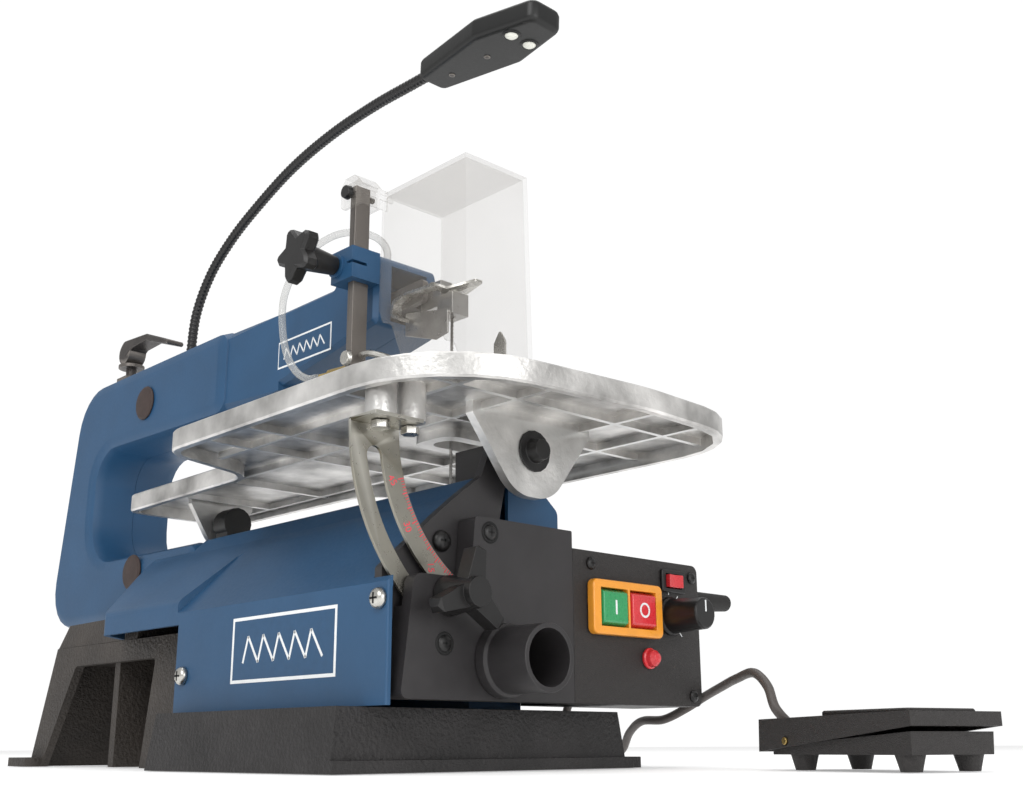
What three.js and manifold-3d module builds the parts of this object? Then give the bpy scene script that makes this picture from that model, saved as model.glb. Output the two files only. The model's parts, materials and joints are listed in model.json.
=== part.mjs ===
// Benchtop scroll saw with foot switch, lamp, blade guard and tilting table.
// Units are millimetres. +X is the operator's right, +Y points to the back, +Z is up.
// The origin is the middle of the base's footprint, on the bench.
import * as THREE from 'three';
import { mergeVertices } from 'three/addons/utils/BufferGeometryUtils.js';
import { ConvexGeometry } from 'three/addons/geometries/ConvexGeometry.js';
import Module from 'manifold-3d';

const wasm = await Module();
wasm.setup();

// ---- driving dimensions -------------------------------------------------
const GAP = 0.3;                      // clearance between touching pieces

const BLADE_Y = -188;                 // blade plane in front of the origin
const FRONT_Y = -260;                 // front face of the control housing
const END_Y = -246;                   // front face of the body's end plate

const BASE_TOP = 33;                  // top of the front block of the base
const DECK_TOP = 88;                  // top of the rear deck of the base

const SPINE_HALF = 38;                // half width of the rear of the frame
const ARM_HALF = 27;                  // half width of the front arm
const WALL = 3.5;                     // wall of the frame shells
const THROAT_Y = 236;                 // back wall of the throat
const BODY_TOP = 163;                 // top of the lower body

const PIVOT_Y = 152;                  // rocker arm pivots
const UPPER_PIVOT_Z = 286;
const LOWER_PIVOT_Z = 147;
const TAIL_Y = 262;                   // tension rod
const LEVER_Z = 362.1;                // hinge of the tension lever
const CRANK_Y = -96;                  // motor axis
const CRANK_Z = 92;
const CRANK_THROW = 3.6;

const TABLE_TOP = 206.5;
const TABLE_HALF = 129;               // half width of the table
const TABLE_FRONT = -331;
const TABLE_BACK = -52;               // back of the wide part
const TAIL_END = 154;
const TAIL_HALF = 52;
const RIM_H = 13.5;
const TILT_Z = 179;                   // tilt axis height
const LUG_Y = -262;                   // front face of the front lug

const SLOT_R = 109;                   // radius of the tilt slot
const STUD_ANGLE = 234.5;             // polar angle of the lock stud, degrees
const QUAD_Y = -251;                  // front face of the tilt quadrant

const POST_X = -38;
const POST_Y = -136;
const HEAD_FRONT = -141;              // front face of the upper arm

const GUARD_PIVOT = 372;              // height of the guard's hinge screw
const GUARD = { x: 27, front: -231, back: -146, top: 374, bottom: 233 };
const PORT = { x: -24, z: 58, r: 18.3, bore: 16.3, mouth: -297 };

const PEDAL = { x: 63.7, y: -451, turn: 75, length: 108, width: 56 };
const CORD_D = 5.6;                   // pedal cable
const COIL = { x: 172, y: -62, mean: 31, turns: 2, layers: 2 };

// ---- colours --------------------------------------------------------------
function finish(color, roughness, metalness = 0, extra = {}) {
  return new THREE.MeshStandardMaterial({ color, roughness, metalness, ...extra });
}
const BLUE = finish(0x2f6390, 0.4);
const BLACK = finish(0x1b1b1c, 0.5);
const GRAIN = finish(0x262524, 0.75);
const RUBBER = finish(0x151515, 0.85);
const IRON = finish(0x3a3836, 0.8, 0.2);
const ALLOY = finish(0xb9bab8, 0.4, 0.9);
const STEEL = finish(0x9a9a98, 0.35, 0.9);
const DARK_STEEL = finish(0x4a4644, 0.45, 0.8);
const BRASS = finish(0xb59a5c, 0.35, 0.9);
const CLEAR = finish(0xdfe6e8, 0.1, 0, { transparent: true, opacity: 0.3 });
const YELLOW = finish(0xf0a22a, 0.4);
const GREEN = finish(0x2a9a55, 0.35);
const RED = finish(0xd0343c, 0.35);
const BROWN = finish(0x40302c, 0.7);

// ---- geometry helpers -------------------------------------------------------
const UP = new THREE.Vector3(0, 0, 1);
const rad = THREE.MathUtils.degToRad;

function solid(geometry) {
  const g = geometry.clone();
  g.deleteAttribute('normal');
  g.deleteAttribute('uv');
  const merged = mergeVertices(g, 1e-4);
  const index = merged.index.array;
  const faces = [];
  for (let i = 0; i < index.length; i += 3) {
    const [a, b, c] = index.slice(i, i + 3);
    if (a !== b && b !== c && c !== a) faces.push(a, b, c);
  }
  return new wasm.Manifold(new wasm.Mesh({
    numProp: 3,
    vertProperties: new Float32Array(merged.attributes.position.array),
    triVerts: new Uint32Array(faces),
  }));
}

function geometryOf(manifold) {
  const mesh = manifold.getMesh();
  const g = new THREE.BufferGeometry();
  g.setAttribute('position', new THREE.BufferAttribute(new Float32Array(mesh.vertProperties), 3));
  g.setIndex(new THREE.BufferAttribute(new Uint32Array(mesh.triVerts), 1));
  g.computeVertexNormals();
  return g;
}

function cut(base, ...tools) {
  return geometryOf(tools.reduce((m, t) => m.subtract(solid(t)), solid(base)));
}

function join(...pieces) {
  return geometryOf(pieces.slice(1).reduce((m, p) => m.add(solid(p)), solid(pieces[0])));
}

function common(a, b) {
  return geometryOf(solid(a).intersect(solid(b)));
}

function box(x0, x1, y0, y1, z0, z1) {
  const g = new THREE.BoxGeometry(x1 - x0, y1 - y0, z1 - z0);
  return g.translate((x0 + x1) / 2, (y0 + y1) / 2, (z0 + z1) / 2);
}

// Round bar from point a to point b; r2 makes it a cone.
function bar(a, b, r, segments = 16, r2 = r) {
  const from = new THREE.Vector3(...a);
  const to = new THREE.Vector3(...b);
  const along = to.clone().sub(from);
  const g = new THREE.CylinderGeometry(r2, r, along.length(), segments);
  g.rotateX(Math.PI / 2);
  const turn = new THREE.Quaternion().setFromUnitVectors(UP, along.clone().normalize());
  g.applyQuaternion(turn);
  const middle = from.add(to).multiplyScalar(0.5);
  return g.translate(middle.x, middle.y, middle.z);
}

function hull(points) {
  return new ConvexGeometry(points.map((p) => new THREE.Vector3(...p)));
}

// Outline from corners [u, v, radius], with an arc in each rounded corner.
function outline(corners) {
  const shape = new THREE.Shape();
  corners.forEach(([u, v, r = 0], i) => {
    const p = new THREE.Vector2(u, v);
    const before = new THREE.Vector2(...corners.at(i - 1).slice(0, 2)).sub(p).normalize();
    const after = new THREE.Vector2(...corners[(i + 1) % corners.length].slice(0, 2)).sub(p).normalize();
    const half = Math.acos(THREE.MathUtils.clamp(before.dot(after), -1, 1)) / 2;
    if (r < 0.01 || half > 1.56) {
      if (i === 0) shape.moveTo(u, v);
      else shape.lineTo(u, v);
      return;
    }
    const reach = r / Math.tan(half);
    const start = p.clone().addScaledVector(before, reach);
    const end = p.clone().addScaledVector(after, reach);
    const middle = before.clone().add(after).normalize();
    const centre = p.clone().addScaledVector(middle, r / Math.sin(half));
    const a0 = Math.atan2(start.y - centre.y, start.x - centre.x);
    const a1 = Math.atan2(end.y - centre.y, end.x - centre.x);
    if (i === 0) shape.moveTo(start.x, start.y);
    else shape.lineTo(start.x, start.y);
    shape.absarc(centre.x, centre.y, r, a0, a1, before.cross(after) > 0);
  });
  shape.closePath();
  return shape;
}

// The same outline with every edge moved inwards by d (corners run anticlockwise).
function inset(corners, d) {
  const edge = (i) => {
    const a = new THREE.Vector2(...corners.at(i).slice(0, 2));
    const b = new THREE.Vector2(...corners[(i + 1 + corners.length) % corners.length].slice(0, 2));
    const dir = b.clone().sub(a).normalize();
    const normal = new THREE.Vector2(-dir.y, dir.x);
    return { p: a.addScaledVector(normal, d), dir };
  };
  return corners.map(([, , r = 0], i) => {
    const e = edge(i - 1);
    const f = edge(i);
    const den = e.dir.cross(f.dir);
    const t = f.p.clone().sub(e.p).cross(f.dir) / den;
    const q = e.p.clone().addScaledVector(e.dir, t);
    return [q.x, q.y, den > 0 ? Math.max(r - d, 0) : r + d];
  });
}

function extrude(shape, depth, bevel, curveSegments, bevelSegments) {
  return new THREE.ExtrudeGeometry(shape, {
    depth: depth - 2 * bevel, curveSegments,
    bevelEnabled: bevel > 0, bevelSize: bevel, bevelThickness: bevel, bevelOffset: -bevel, bevelSegments,
  }).translate(0, 0, bevel);
}

// Prisms: outline in (Y, Z) along X, in (X, Z) along Y, and in (X, Y) along Z.
function alongX(shape, x0, x1, bevel = 0, segments = 2, bevelSegments = 2) {
  const g = extrude(shape, x1 - x0, bevel, segments, bevelSegments);
  const turn = new THREE.Matrix4().set(0, 0, 1, x0, 1, 0, 0, 0, 0, 1, 0, 0, 0, 0, 0, 1);
  return g.applyMatrix4(turn);
}
function alongY(shape, y0, y1, bevel = 0, segments = 2, bevelSegments = 2) {
  const g = extrude(shape, y1 - y0, bevel, segments, bevelSegments);
  const turn = new THREE.Matrix4().set(1, 0, 0, 0, 0, 0, -1, y1, 0, 1, 0, 0, 0, 0, 0, 1);
  return g.applyMatrix4(turn);
}
function alongZ(shape, z0, z1, bevel = 0, segments = 2, bevelSegments = 2) {
  return extrude(shape, z1 - z0, bevel, segments, bevelSegments).translate(0, 0, z0);
}

function mirrored(geometry) {
  const g = geometry.clone().scale(-1, 1, 1);
  const index = g.index.array;
  for (let i = 0; i < index.length; i += 3) {
    [index[i], index[i + 1]] = [index[i + 1], index[i]];
  }
  g.computeVertexNormals();
  return g;
}

// Round tube along a list of points, as a solid rod of the outer diameter.
function cord(points, diameter, steps, sides = 8) {
  const curve = new THREE.CatmullRomCurve3(points.map((p) => new THREE.Vector3(...p)), false, 'centripetal');
  const ring = new THREE.Shape();
  for (let i = 0; i < sides; i += 1) {
    const a = (2 * Math.PI * i) / sides;
    const [u, v] = [Math.cos(a) * diameter / 2, Math.sin(a) * diameter / 2];
    if (i === 0) ring.moveTo(u, v);
    else ring.lineTo(u, v);
  }
  ring.closePath();
  return new THREE.ExtrudeGeometry(ring, { steps, extrudePath: curve, bevelEnabled: false });
}

// Turned part on an axis along Y: profile of [radius, y], from the back to the front.
function turned(profile, x, y, z, segments = 22) {
  const points = profile.map(([r, h]) => new THREE.Vector2(r, -h));
  return new THREE.LatheGeometry(points, segments).rotateX(Math.PI).translate(x, y, z);
}

const STUD = rad(STUD_ANGLE);
const KNOB_AT = [SLOT_R * Math.cos(STUD), TILT_Z + SLOT_R * Math.sin(STUD)];

const root = new THREE.Group();
function add(name, geometry, material, parent = root) {
  const mesh = new THREE.Mesh(geometry, material);
  mesh.name = name;
  parent.add(mesh);
  return mesh;
}

// ---- base -------------------------------------------------------------------
// Iron casting: a wide hollow block in front, and a narrower arched deck behind it.
function baseCasting() {
  const block = hull([
    [-124, -242, 0], [97, -242, 0], [97, -36, 0], [-108, -36, 0], [-124, -54, 0],
    [-119.5, -240, BASE_TOP], [92, -240, BASE_TOP], [92, -38, BASE_TOP], [-104, -38, BASE_TOP],
    [-119.5, -56, BASE_TOP],
  ]);
  const deck = hull([
    [-82, -40, 0], [82, -40, 0], [82, 210, 0], [-82, 210, 0],
    [-74, -40, DECK_TOP], [74, -40, DECK_TOP], [74, 196, DECK_TOP], [-74, 196, DECK_TOP],
  ]);
  const shelf = hull([
    [-74, 66, DECK_TOP - 2], [74, 66, DECK_TOP - 2], [-72, 66, 106], [72, 66, 106],
    [-74, 196, DECK_TOP - 2], [74, 196, DECK_TOP - 2], [-68, 191, 106], [68, 191, 106],
  ]);
  const frontLip = box(-124, 100, -245, -240, 0, 6.5);
  const tabs = [[100, -228], [-78, 205], [78, 205]].map(([x, y]) => alongZ(outline([
    [x - 14, y - 14, 6], [x + 14, y - 14, 6], [x + 14, y + 26, 6], [x - 14, y + 26, 6],
  ]), 0, 6.5));
  const shellOut = join(block, deck, shelf, frontLip, ...tabs);

  const blockHollow = hull([
    [-118, -236, -1], [90, -236, -1], [90, -50, -1], [-106, -50, -1], [-118, -62, -1],
    [-113, -234, 27], [85, -234, 27], [85, -50, 27], [-102, -50, 27], [-113, -62, 27],
  ]);
  const deckHollow = hull([
    [-76, -32, -1], [76, -32, -1], [76, 204, -1], [-76, 204, -1],
    [-68, -32, 76], [68, -32, 76], [68, 189, 76], [-68, 189, 76],
  ]);
  const window = alongX(outline([
    [34, -1], [190, -1], [158, 73, 4], [34, 73, 4],
  ]), -95, -60);
  const webs = [-4, 96].map((y) => box(-70, 70, y, y + 8, 0, 80));
  const pillar = bar([-30, 60, 0], [-30, 60, 80], 17, 16);
  const hollow = cut(shellOut, blockHollow, deckHollow, window);
  const whole = join(hollow, ...webs.map((w) => common(w, shellOut)), pillar);
  const boltHoles = [[104, -212], [-80, 221], [80, 221]].map(([x, y]) => bar([x, y, -1], [x, y, 8], 3.6, 16));
  return cut(whole, ...boltHoles, bar([-30, 60, -1], [-30, 60, 30], 6, 16));
}
add('base_casting', baseCasting(), IRON);

// ---- frame shells -----------------------------------------------------------
const ARM_SIDE = [
  [HEAD_FRONT, 284, 5], [48, 252, 4], [48, 320, 4], [-92, 321, 4], [-99, 334, 5], [HEAD_FRONT, 334, 7],
];
const SPINE_SIDE = [
  [58, 110, 12], [311, 110, 38], [279, 322, 44], [30, 322, 14], [30, 253, 14], [THROAT_Y, 257, 26],
  [THROAT_Y, 165, 34], [150, BODY_TOP, 30], [58, BODY_TOP - 1, 12],
];

function frameHalf() {
  const spine = alongX(outline(SPINE_SIDE), -SPINE_HALF, SPINE_HALF, 11, 3, 2);
  const blend = hull([
    [-ARM_HALF, -28, 261], [ARM_HALF, -28, 261], [-ARM_HALF, -28, 319], [ARM_HALF, -28, 319],
    [-SPINE_HALF + 3, 44, 262], [SPINE_HALF - 3, 44, 262], [-SPINE_HALF + 3, 44, 312], [SPINE_HALF - 3, 44, 312],
    [-ARM_HALF, 44, 253.5], [ARM_HALF, 44, 253.5], [-ARM_HALF, 44, 320.5], [ARM_HALF, 44, 320.5],
  ]);
  const arm = alongX(outline(ARM_SIDE), -ARM_HALF, ARM_HALF, 3, 2, 1);
  const outer = join(spine, blend, arm);
  const spineHollow = alongX(outline(inset(SPINE_SIDE, WALL)), -SPINE_HALF + WALL, SPINE_HALF - WALL, 7, 2, 1);
  const armHollow = alongX(outline(inset(ARM_SIDE, WALL)), -ARM_HALF + WALL, ARM_HALF - WALL);
  const link = box(-ARM_HALF + WALL, ARM_HALF - WALL, 40, 70, 258, 316);
  const mouth = box(-14, 17, HEAD_FRONT - 10, HEAD_FRONT + 10, 287.6, 327);
  const lowerMouth = box(-26, 26, 50, 76, 118, 158.4);
  const rodSlot = box(-13, 13, TAIL_Y - 13, TAIL_Y + 13, 300, 340);
  const lampHole = bar([0, 153, 300], [0, 153, 330], 6.3, 16);
  const pins = [UPPER_PIVOT_Z, LOWER_PIVOT_Z].map((z) => bar([-50, PIVOT_Y, z], [50, PIVOT_Y, z], 6.3, 16));
  const fitting = bar([-8, -128, 325], [-8, -128, 340], 3.3, 12);
  const shell = cut(outer, spineHollow, armHollow, link, mouth, lowerMouth, rodSlot, lampHole, fitting, ...pins);
  return shell;
}
const frameWhole = frameHalf();
const HALF_SPACE = 400;
add('frame_shell_left', common(frameWhole, box(-HALF_SPACE, -GAP / 2, -300, 400, 0, 400)), BLUE);
add('frame_shell_right', common(frameWhole, box(GAP / 2, HALF_SPACE, -300, 400, 0, 400)), BLUE);

// Plastic caps over the ends of the two pivot pins.
const CAP_R = 14;
function pivotCap(z) {
  const x = -SPINE_HALF - GAP;
  const profile = [[0, 0], [CAP_R, 0], [CAP_R, 1.2], [CAP_R - 1.6, 2.4], [0, 3]];
  const g = new THREE.LatheGeometry(profile.map((p) => new THREE.Vector2(...p)), 28);
  return g.rotateZ(Math.PI / 2).translate(x, PIVOT_Y, z);
}
add('upper_pivot_cap', pivotCap(UPPER_PIVOT_Z), BROWN);
add('lower_pivot_cap', pivotCap(LOWER_PIVOT_Z), BROWN);
const PIN_HALF = SPINE_HALF - 0.4;
for (const [name, z] of [['upper_pivot_pin', UPPER_PIVOT_Z], ['lower_pivot_pin', LOWER_PIVOT_Z]]) {
  add(name, bar([-PIN_HALF, PIVOT_Y, z], [PIN_HALF + 3, PIVOT_Y, z], 6, 16), STEEL);
}

// ---- lower body covers --------------------------------------------------------
// The left cover is wide and leans in towards the top, so that the table can tilt over it.
const COVER_FLOOR = BASE_TOP + GAP;
function coverLeft() {
  const side = [
    [-101, 30, 0], [-101, 103, 8], [-60, 136, 6], [-41, 150, 6], [-28, 162.7, 6], [0, BODY_TOP + 1.2, 0], [0, 30, 0],
  ];
  const prism = alongY(outline([...side].reverse()), -256.5, 118, 0, 2);
  const plan = alongZ(outline([
    [-101, -256.5, 1], [0, -256.5], [0, 118], [-40, 118, 4], [-101, 64, 10],
  ]), 20, 200);
  const outer = common(prism, plan);
  const tableSweep = hull([
    [-140, -300, 59], [-140, -40, 59], [-60, -300, 135], [-60, -40, 135], [-36, -300, 157], [-36, -52, 157],
    [-140, -300, 220], [-140, -30, 220], [-36, -300, 220], [-36, -30, 220],
  ]);
  const inner = common(
    alongY(outline([...side.slice(0, -2), [1, BODY_TOP + 1.2, 0], [1, 10, 0]].map(([x, z, r], i) => (
      i === 0 ? [x + 3, 10, 0] : [x > -1 ? x : x + (i < 3 ? 3 : 2.4), z < 40 ? 10 : z - 3, r]
    )).reverse()), -262, 130, 0, 3),
    alongZ(outline([[-98, -262], [2, -262], [2, 130], [-40, 115, 3], [-98, 61, 8]]), 5, 200),
  );
  const innerSweep = tableSweep.clone().translate(1.5, 0, -4.2);
  const hollow = cut(inner, innerSweep);
  const rearStep = box(-110, 5, -42, 140, 20, DECK_TOP + GAP);
  const limb = box(-SPINE_HALF - GAP, 5, 57.5, 140, 20, 200);
  const deckStep = box(-75, 5, 65.5, 140, 20, 106 + GAP);
  const bladeSlot = box(-9, 5, -214, -150, 140, 200);
  const front = box(-130, 5, -262, END_Y + 6.3, 101.5, 200);
  const frontInside = box(-97.7, 5, -262, END_Y + 6.3, 20, 200);
  const floor = box(-130, 5, -262, 140, 10, COVER_FLOOR);
  const screws = [[-250, 87], [-52, 56]].map(([y, z]) => bar([-110, y, z], [-90, y, z], 2.4, 12));
  return cut(
    cut(outer, tableSweep), hollow, rearStep, limb, deckStep, bladeSlot, front, frontInside, floor, ...screws,
    box(-GAP / 2, 5, -262, 140, 10, 200),
  );
}
add('lower_cover_left', coverLeft(), BLUE);

const RIGHT_HALF = 42;
function coverRight() {
  const side = [
    [0, 30, 0], [RIGHT_HALF, 30, 0], [RIGHT_HALF, 151, 6], [28, BODY_TOP - 0.5, 6], [0, BODY_TOP + 1.2, 0],
  ];
  const bore = [
    [-1, 10, 0], [RIGHT_HALF - 3, 10, 0], [RIGHT_HALF - 3, 149, 4], [27, BODY_TOP - 3.5, 4], [-1, BODY_TOP - 1.8, 0],
  ];
  const nose = common(alongY(outline(side), END_Y + 6.3, -205, 0, 3), box(-5, 60, -262, -200, 127, 200));
  const noseBore = common(alongY(outline(bore), END_Y + 9, -200, 0, 3), box(-5, 60, -262, -199, 126, 200));
  const outer = join(alongY(outline(side), -206, 118, 0, 3), nose);
  const inner = join(alongY(outline(bore), -203, 130, 0, 3), noseBore);
  const rearStep = box(-5, 60, -42, 140, 20, DECK_TOP + GAP);
  const limb = box(-5, SPINE_HALF + GAP, 57.5, 140, 20, 200);
  const deckStep = box(-5, 75, 65.5, 140, 20, 106 + GAP);
  const bladeSlot = box(-5, 9, -200, -150, 140, 200);
  const floor = box(-5, 130, -262, 140, 10, COVER_FLOOR);
  const motorHole = bar([30, CRANK_Y, CRANK_Z], [60, CRANK_Y, CRANK_Z], 24, 16);
  return cut(
    outer, inner, rearStep, limb, deckStep, bladeSlot, floor, motorHole,
    box(-5, GAP / 2, -262, 140, 10, 200),
  );
}
add('lower_cover_right', coverRight(), BLUE);

function panHead(r, height, segments = 18) {
  const profile = [[0, 0], [r, 0], [r, height * 0.45], [r * 0.72, height * 0.88], [0, height]];
  return new THREE.LatheGeometry(profile.map((p) => new THREE.Vector2(...p)), segments);
}
const COVER_X = -101 - GAP;
function coverScrew(y, z) {
  const head = panHead(5.6, 4.4).rotateZ(Math.PI / 2).translate(COVER_X, y, z);
  return join(head, bar([COVER_X - 1, y, z], [COVER_X + 10, y, z], 2.1, 12));
}
add('cover_screw_front', coverScrew(-250, 87), STEEL);
add('cover_screw_rear', coverScrew(-52, 56), STEEL);

// ---- control housing and what it carries ----------------------------------------
const SPLIT_X = 33;
const PANEL = { right: 151, bottom: 36.5, top: 126, rear: -207 };
function controlHousing() {
  const left = alongY(outline([
    [-94.5, 36.5, 4], [SPLIT_X, 36.5], [SPLIT_X, 136, 1], [-44, 136, 3], [-47, 101, 4], [-86.5, 101, 6],
  ]), FRONT_Y, END_Y - GAP, 0, 3);
  const leftHollow = alongY(outline([
    [-91.5, 39.5, 2], [SPLIT_X + 4, 39.5], [SPLIT_X + 4, 133], [-41, 133], [-44, 98, 3], [-84.5, 98, 4],
  ]), FRONT_Y + 3, -200, 0, 3);
  const right = alongY(outline([
    [SPLIT_X - 3, PANEL.bottom], [PANEL.right, PANEL.bottom, 5], [PANEL.right, PANEL.top, 5],
    [SPLIT_X - 3, PANEL.top],
  ]), FRONT_Y + 4, PANEL.rear, 0, 3);
  const rightHollow = box(SPLIT_X, PANEL.right - 3, FRONT_Y + 3, PANEL.rear - 3, PANEL.bottom + 3, PANEL.top - 3);
  const lip = box(SPLIT_X, PANEL.right - 3, FRONT_Y - 1, FRONT_Y + 4, PANEL.bottom + 3, PANEL.top - 3);
  const plateSeat = box(SPLIT_X, 200, FRONT_Y - 1, FRONT_Y + 4, 30, 140);
  const endRoom = box(-120, 41, END_Y - GAP, -200, 20, 200);
  const quadrantSlot = box(-100, -38, QUAD_Y - 1.4, END_Y, 84, 104);
  const wires = box(SPLIT_X - 6, SPLIT_X + 4, FRONT_Y + 3, END_Y - GAP, 50, 110);
  const holes = [
    bar([PORT.x, -270, PORT.z], [PORT.x, -250, PORT.z], PORT.bore, 16),
    bar([KNOB_AT[0], -270, KNOB_AT[1]], [KNOB_AT[0], -250, KNOB_AT[1]], 3.3, 12),
    bar([140, -238, 106], [160, -238, 106], 5.2, 16),
    bar([132, -215, 56], [132, -200, 56], 3.4, 12),
  ];
  const body = join(cut(left, leftHollow), cut(right, endRoom, rightHollow, lip));
  const leadRib = alongY(outline([[150, 84], [181, 96.5], [150, 96.5]]), -240, -236);
  return join(cut(body, plateSeat, quadrantSlot, wires, ...holes), leadRib);
}
add('control_housing', controlHousing(), BLACK);

const SWITCH = { x0: 44.6, x1: 108, z0: 76.4, z1: 109 };
const ROCKER = { x0: 113, x1: 136, z0: 106.5, z1: 121 };
const LAMP = { x: 99.5, z: 64.5 };
const KNOB = { x: 121, z: 91.5 };
function switchPlate() {
  const plate = alongY(outline([
    [SPLIT_X + GAP, PANEL.bottom], [PANEL.right, PANEL.bottom, 5], [PANEL.right, PANEL.top, 5],
    [SPLIT_X + GAP, PANEL.top],
  ]), FRONT_Y, FRONT_Y + 3.7, 0, 3);
  const y = [FRONT_Y - 5, FRONT_Y + 8];
  return cut(
    plate,
    box(SWITCH.x0 + 3, SWITCH.x1 - 3, ...y, SWITCH.z0 + 3, SWITCH.z1 - 3),
    box(ROCKER.x0 + 2, ROCKER.x1 - 2, ...y, ROCKER.z0 + 2, ROCKER.z1 - 2),
    bar([LAMP.x, y[0], LAMP.z], [LAMP.x, y[1], LAMP.z], 4.3, 16),
    bar([KNOB.x, y[0], KNOB.z], [KNOB.x, y[1], KNOB.z], 3.3, 16),
  );
}
add('switch_plate', switchPlate(), GRAIN);

function dustPort() {
  const tip = PORT.mouth - FRONT_Y;
  const profile = [
    [PORT.bore - 0.6, 4.5], [PORT.bore - 0.6, -GAP], [20.4, -GAP], [20, -6.5], [PORT.r, -8], [PORT.r, tip],
    [PORT.bore - 1, tip], [PORT.bore - 1.6, 4.5], [PORT.bore - 0.6, 4.5],
  ];
  return turned(profile, PORT.x, FRONT_Y, PORT.z, 26);
}
add('dust_port', dustPort(), BLACK);

const FRAME_FACE = FRONT_Y - 6;
const MID_X = (SWITCH.x0 + SWITCH.x1) / 2;
const BUTTON = { half: 11.6, z0: SWITCH.z0 + 5.4, z1: SWITCH.z1 - 5.4, offset: 13 };
function switchFrame() {
  const rim = alongY(outline([
    [SWITCH.x0, SWITCH.z0, 4], [SWITCH.x1, SWITCH.z0, 4], [SWITCH.x1, SWITCH.z1, 4], [SWITCH.x0, SWITCH.z1, 4],
  ]), FRAME_FACE, FRONT_Y - GAP, 1.2, 3, 2);
  const well = [-1, 1].map((side) => box(
    MID_X + side * BUTTON.offset - BUTTON.half - 0.5, MID_X + side * BUTTON.offset + BUTTON.half + 0.5,
    FRAME_FACE - 4, FRONT_Y + 5, BUTTON.z0 - 0.5, BUTTON.z1 + 0.5,
  ));
  return cut(rim, ...well);
}
add('switch_frame', switchFrame(), YELLOW);

function button(side) {
  const x = MID_X + side * BUTTON.offset;
  const z0 = BUTTON.z0;
  const z1 = BUTTON.z1;
  return hull([
    [x - BUTTON.half, FRAME_FACE + 3, z0], [x + BUTTON.half, FRAME_FACE + 3, z0],
    [x - BUTTON.half, FRAME_FACE + 3, z1], [x + BUTTON.half, FRAME_FACE + 3, z1],
    [x - BUTTON.half, FRONT_Y + 2, z0], [x + BUTTON.half, FRONT_Y + 2, z0],
    [x - BUTTON.half, FRONT_Y + 2, z1], [x + BUTTON.half, FRONT_Y + 2, z1],
    [x - BUTTON.half + 0.8, FRAME_FACE - 1, z0 + 2], [x + BUTTON.half - 0.8, FRAME_FACE - 1, z0 + 2],
    [x - BUTTON.half + 0.8, FRAME_FACE - 1, z1 - 2], [x + BUTTON.half - 0.8, FRAME_FACE - 1, z1 - 2],
  ]);
}
add('start_button', button(-1), GREEN);
add('stop_button', button(1), RED);

function rockerBezel() {
  const rim = alongY(outline([
    [ROCKER.x0, ROCKER.z0, 1.5], [ROCKER.x1, ROCKER.z0, 1.5], [ROCKER.x1, ROCKER.z1, 1.5],
    [ROCKER.x0, ROCKER.z1, 1.5],
  ]), FRONT_Y - 2.2, FRONT_Y - GAP, 0.6, 2, 1);
  return cut(rim, box(ROCKER.x0 + 3.6, ROCKER.x1 - 3.6, -270, -250, ROCKER.z0 + 2.6, ROCKER.z1 - 2.6));
}
add('rocker_bezel', rockerBezel(), BLACK);
const ROCKER_X = (ROCKER.x0 + ROCKER.x1) / 2;
add('light_rocker', alongZ(outline([
  [ROCKER_X - 6.6, FRONT_Y - 0.6], [ROCKER_X + 6.6, FRONT_Y + 3], [ROCKER_X + 6.6, FRONT_Y - 4.6],
  [ROCKER_X + 0.6, FRONT_Y - 3.2], [ROCKER_X - 6.6, FRONT_Y - 4.4],
].reverse().map(([x, y]) => [x, y, 0])), ROCKER.z0 + 3.2, ROCKER.z1 - 3.2), RED);

add('pilot_lamp', turned([
  [0, 10], [4, 10], [4, -GAP], [6.4, -GAP], [6.4, -2], [5.4, -2.4], [4.9, -5.4], [2.9, -7.6], [0, -8.4],
], LAMP.x, FRONT_Y, LAMP.z, 24), RED);
add('speed_knob', turned([
  [0, 9], [3, 9], [3, -0.6], [12.2, -0.6], [12.2, -2.6], [10.8, -4], [9.8, -28], [8.8, -29], [0, -29],
], KNOB.x, FRONT_Y, KNOB.z), BLACK);

// Rubber boot of the mains lead, at the right side of the housing.
add('lead_boot', join(
  bar([PANEL.right + GAP, -238, 106], [PANEL.right + 4, -238, 106], 8.8, 16),
  bar([PANEL.right + 3.9, -238, 106], [PANEL.right + 58, -238, 108], 7.6, 20, 5.6),
  bar([PANEL.right - 5, -238, 106], [PANEL.right + 1, -238, 106], 4.8, 16),
), RUBBER);
add('cable_gland', join(
  bar([132, PANEL.rear + GAP, 56], [132, PANEL.rear + 6, 56], 6.4, 6),
  bar([132, PANEL.rear - 4, 56], [132, PANEL.rear + 1, 56], 3.2, 12),
  bar([132, PANEL.rear + 5.9, 56], [132, PANEL.rear + 18, 56], 4.6, 16, 3.4),
), RUBBER);

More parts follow.
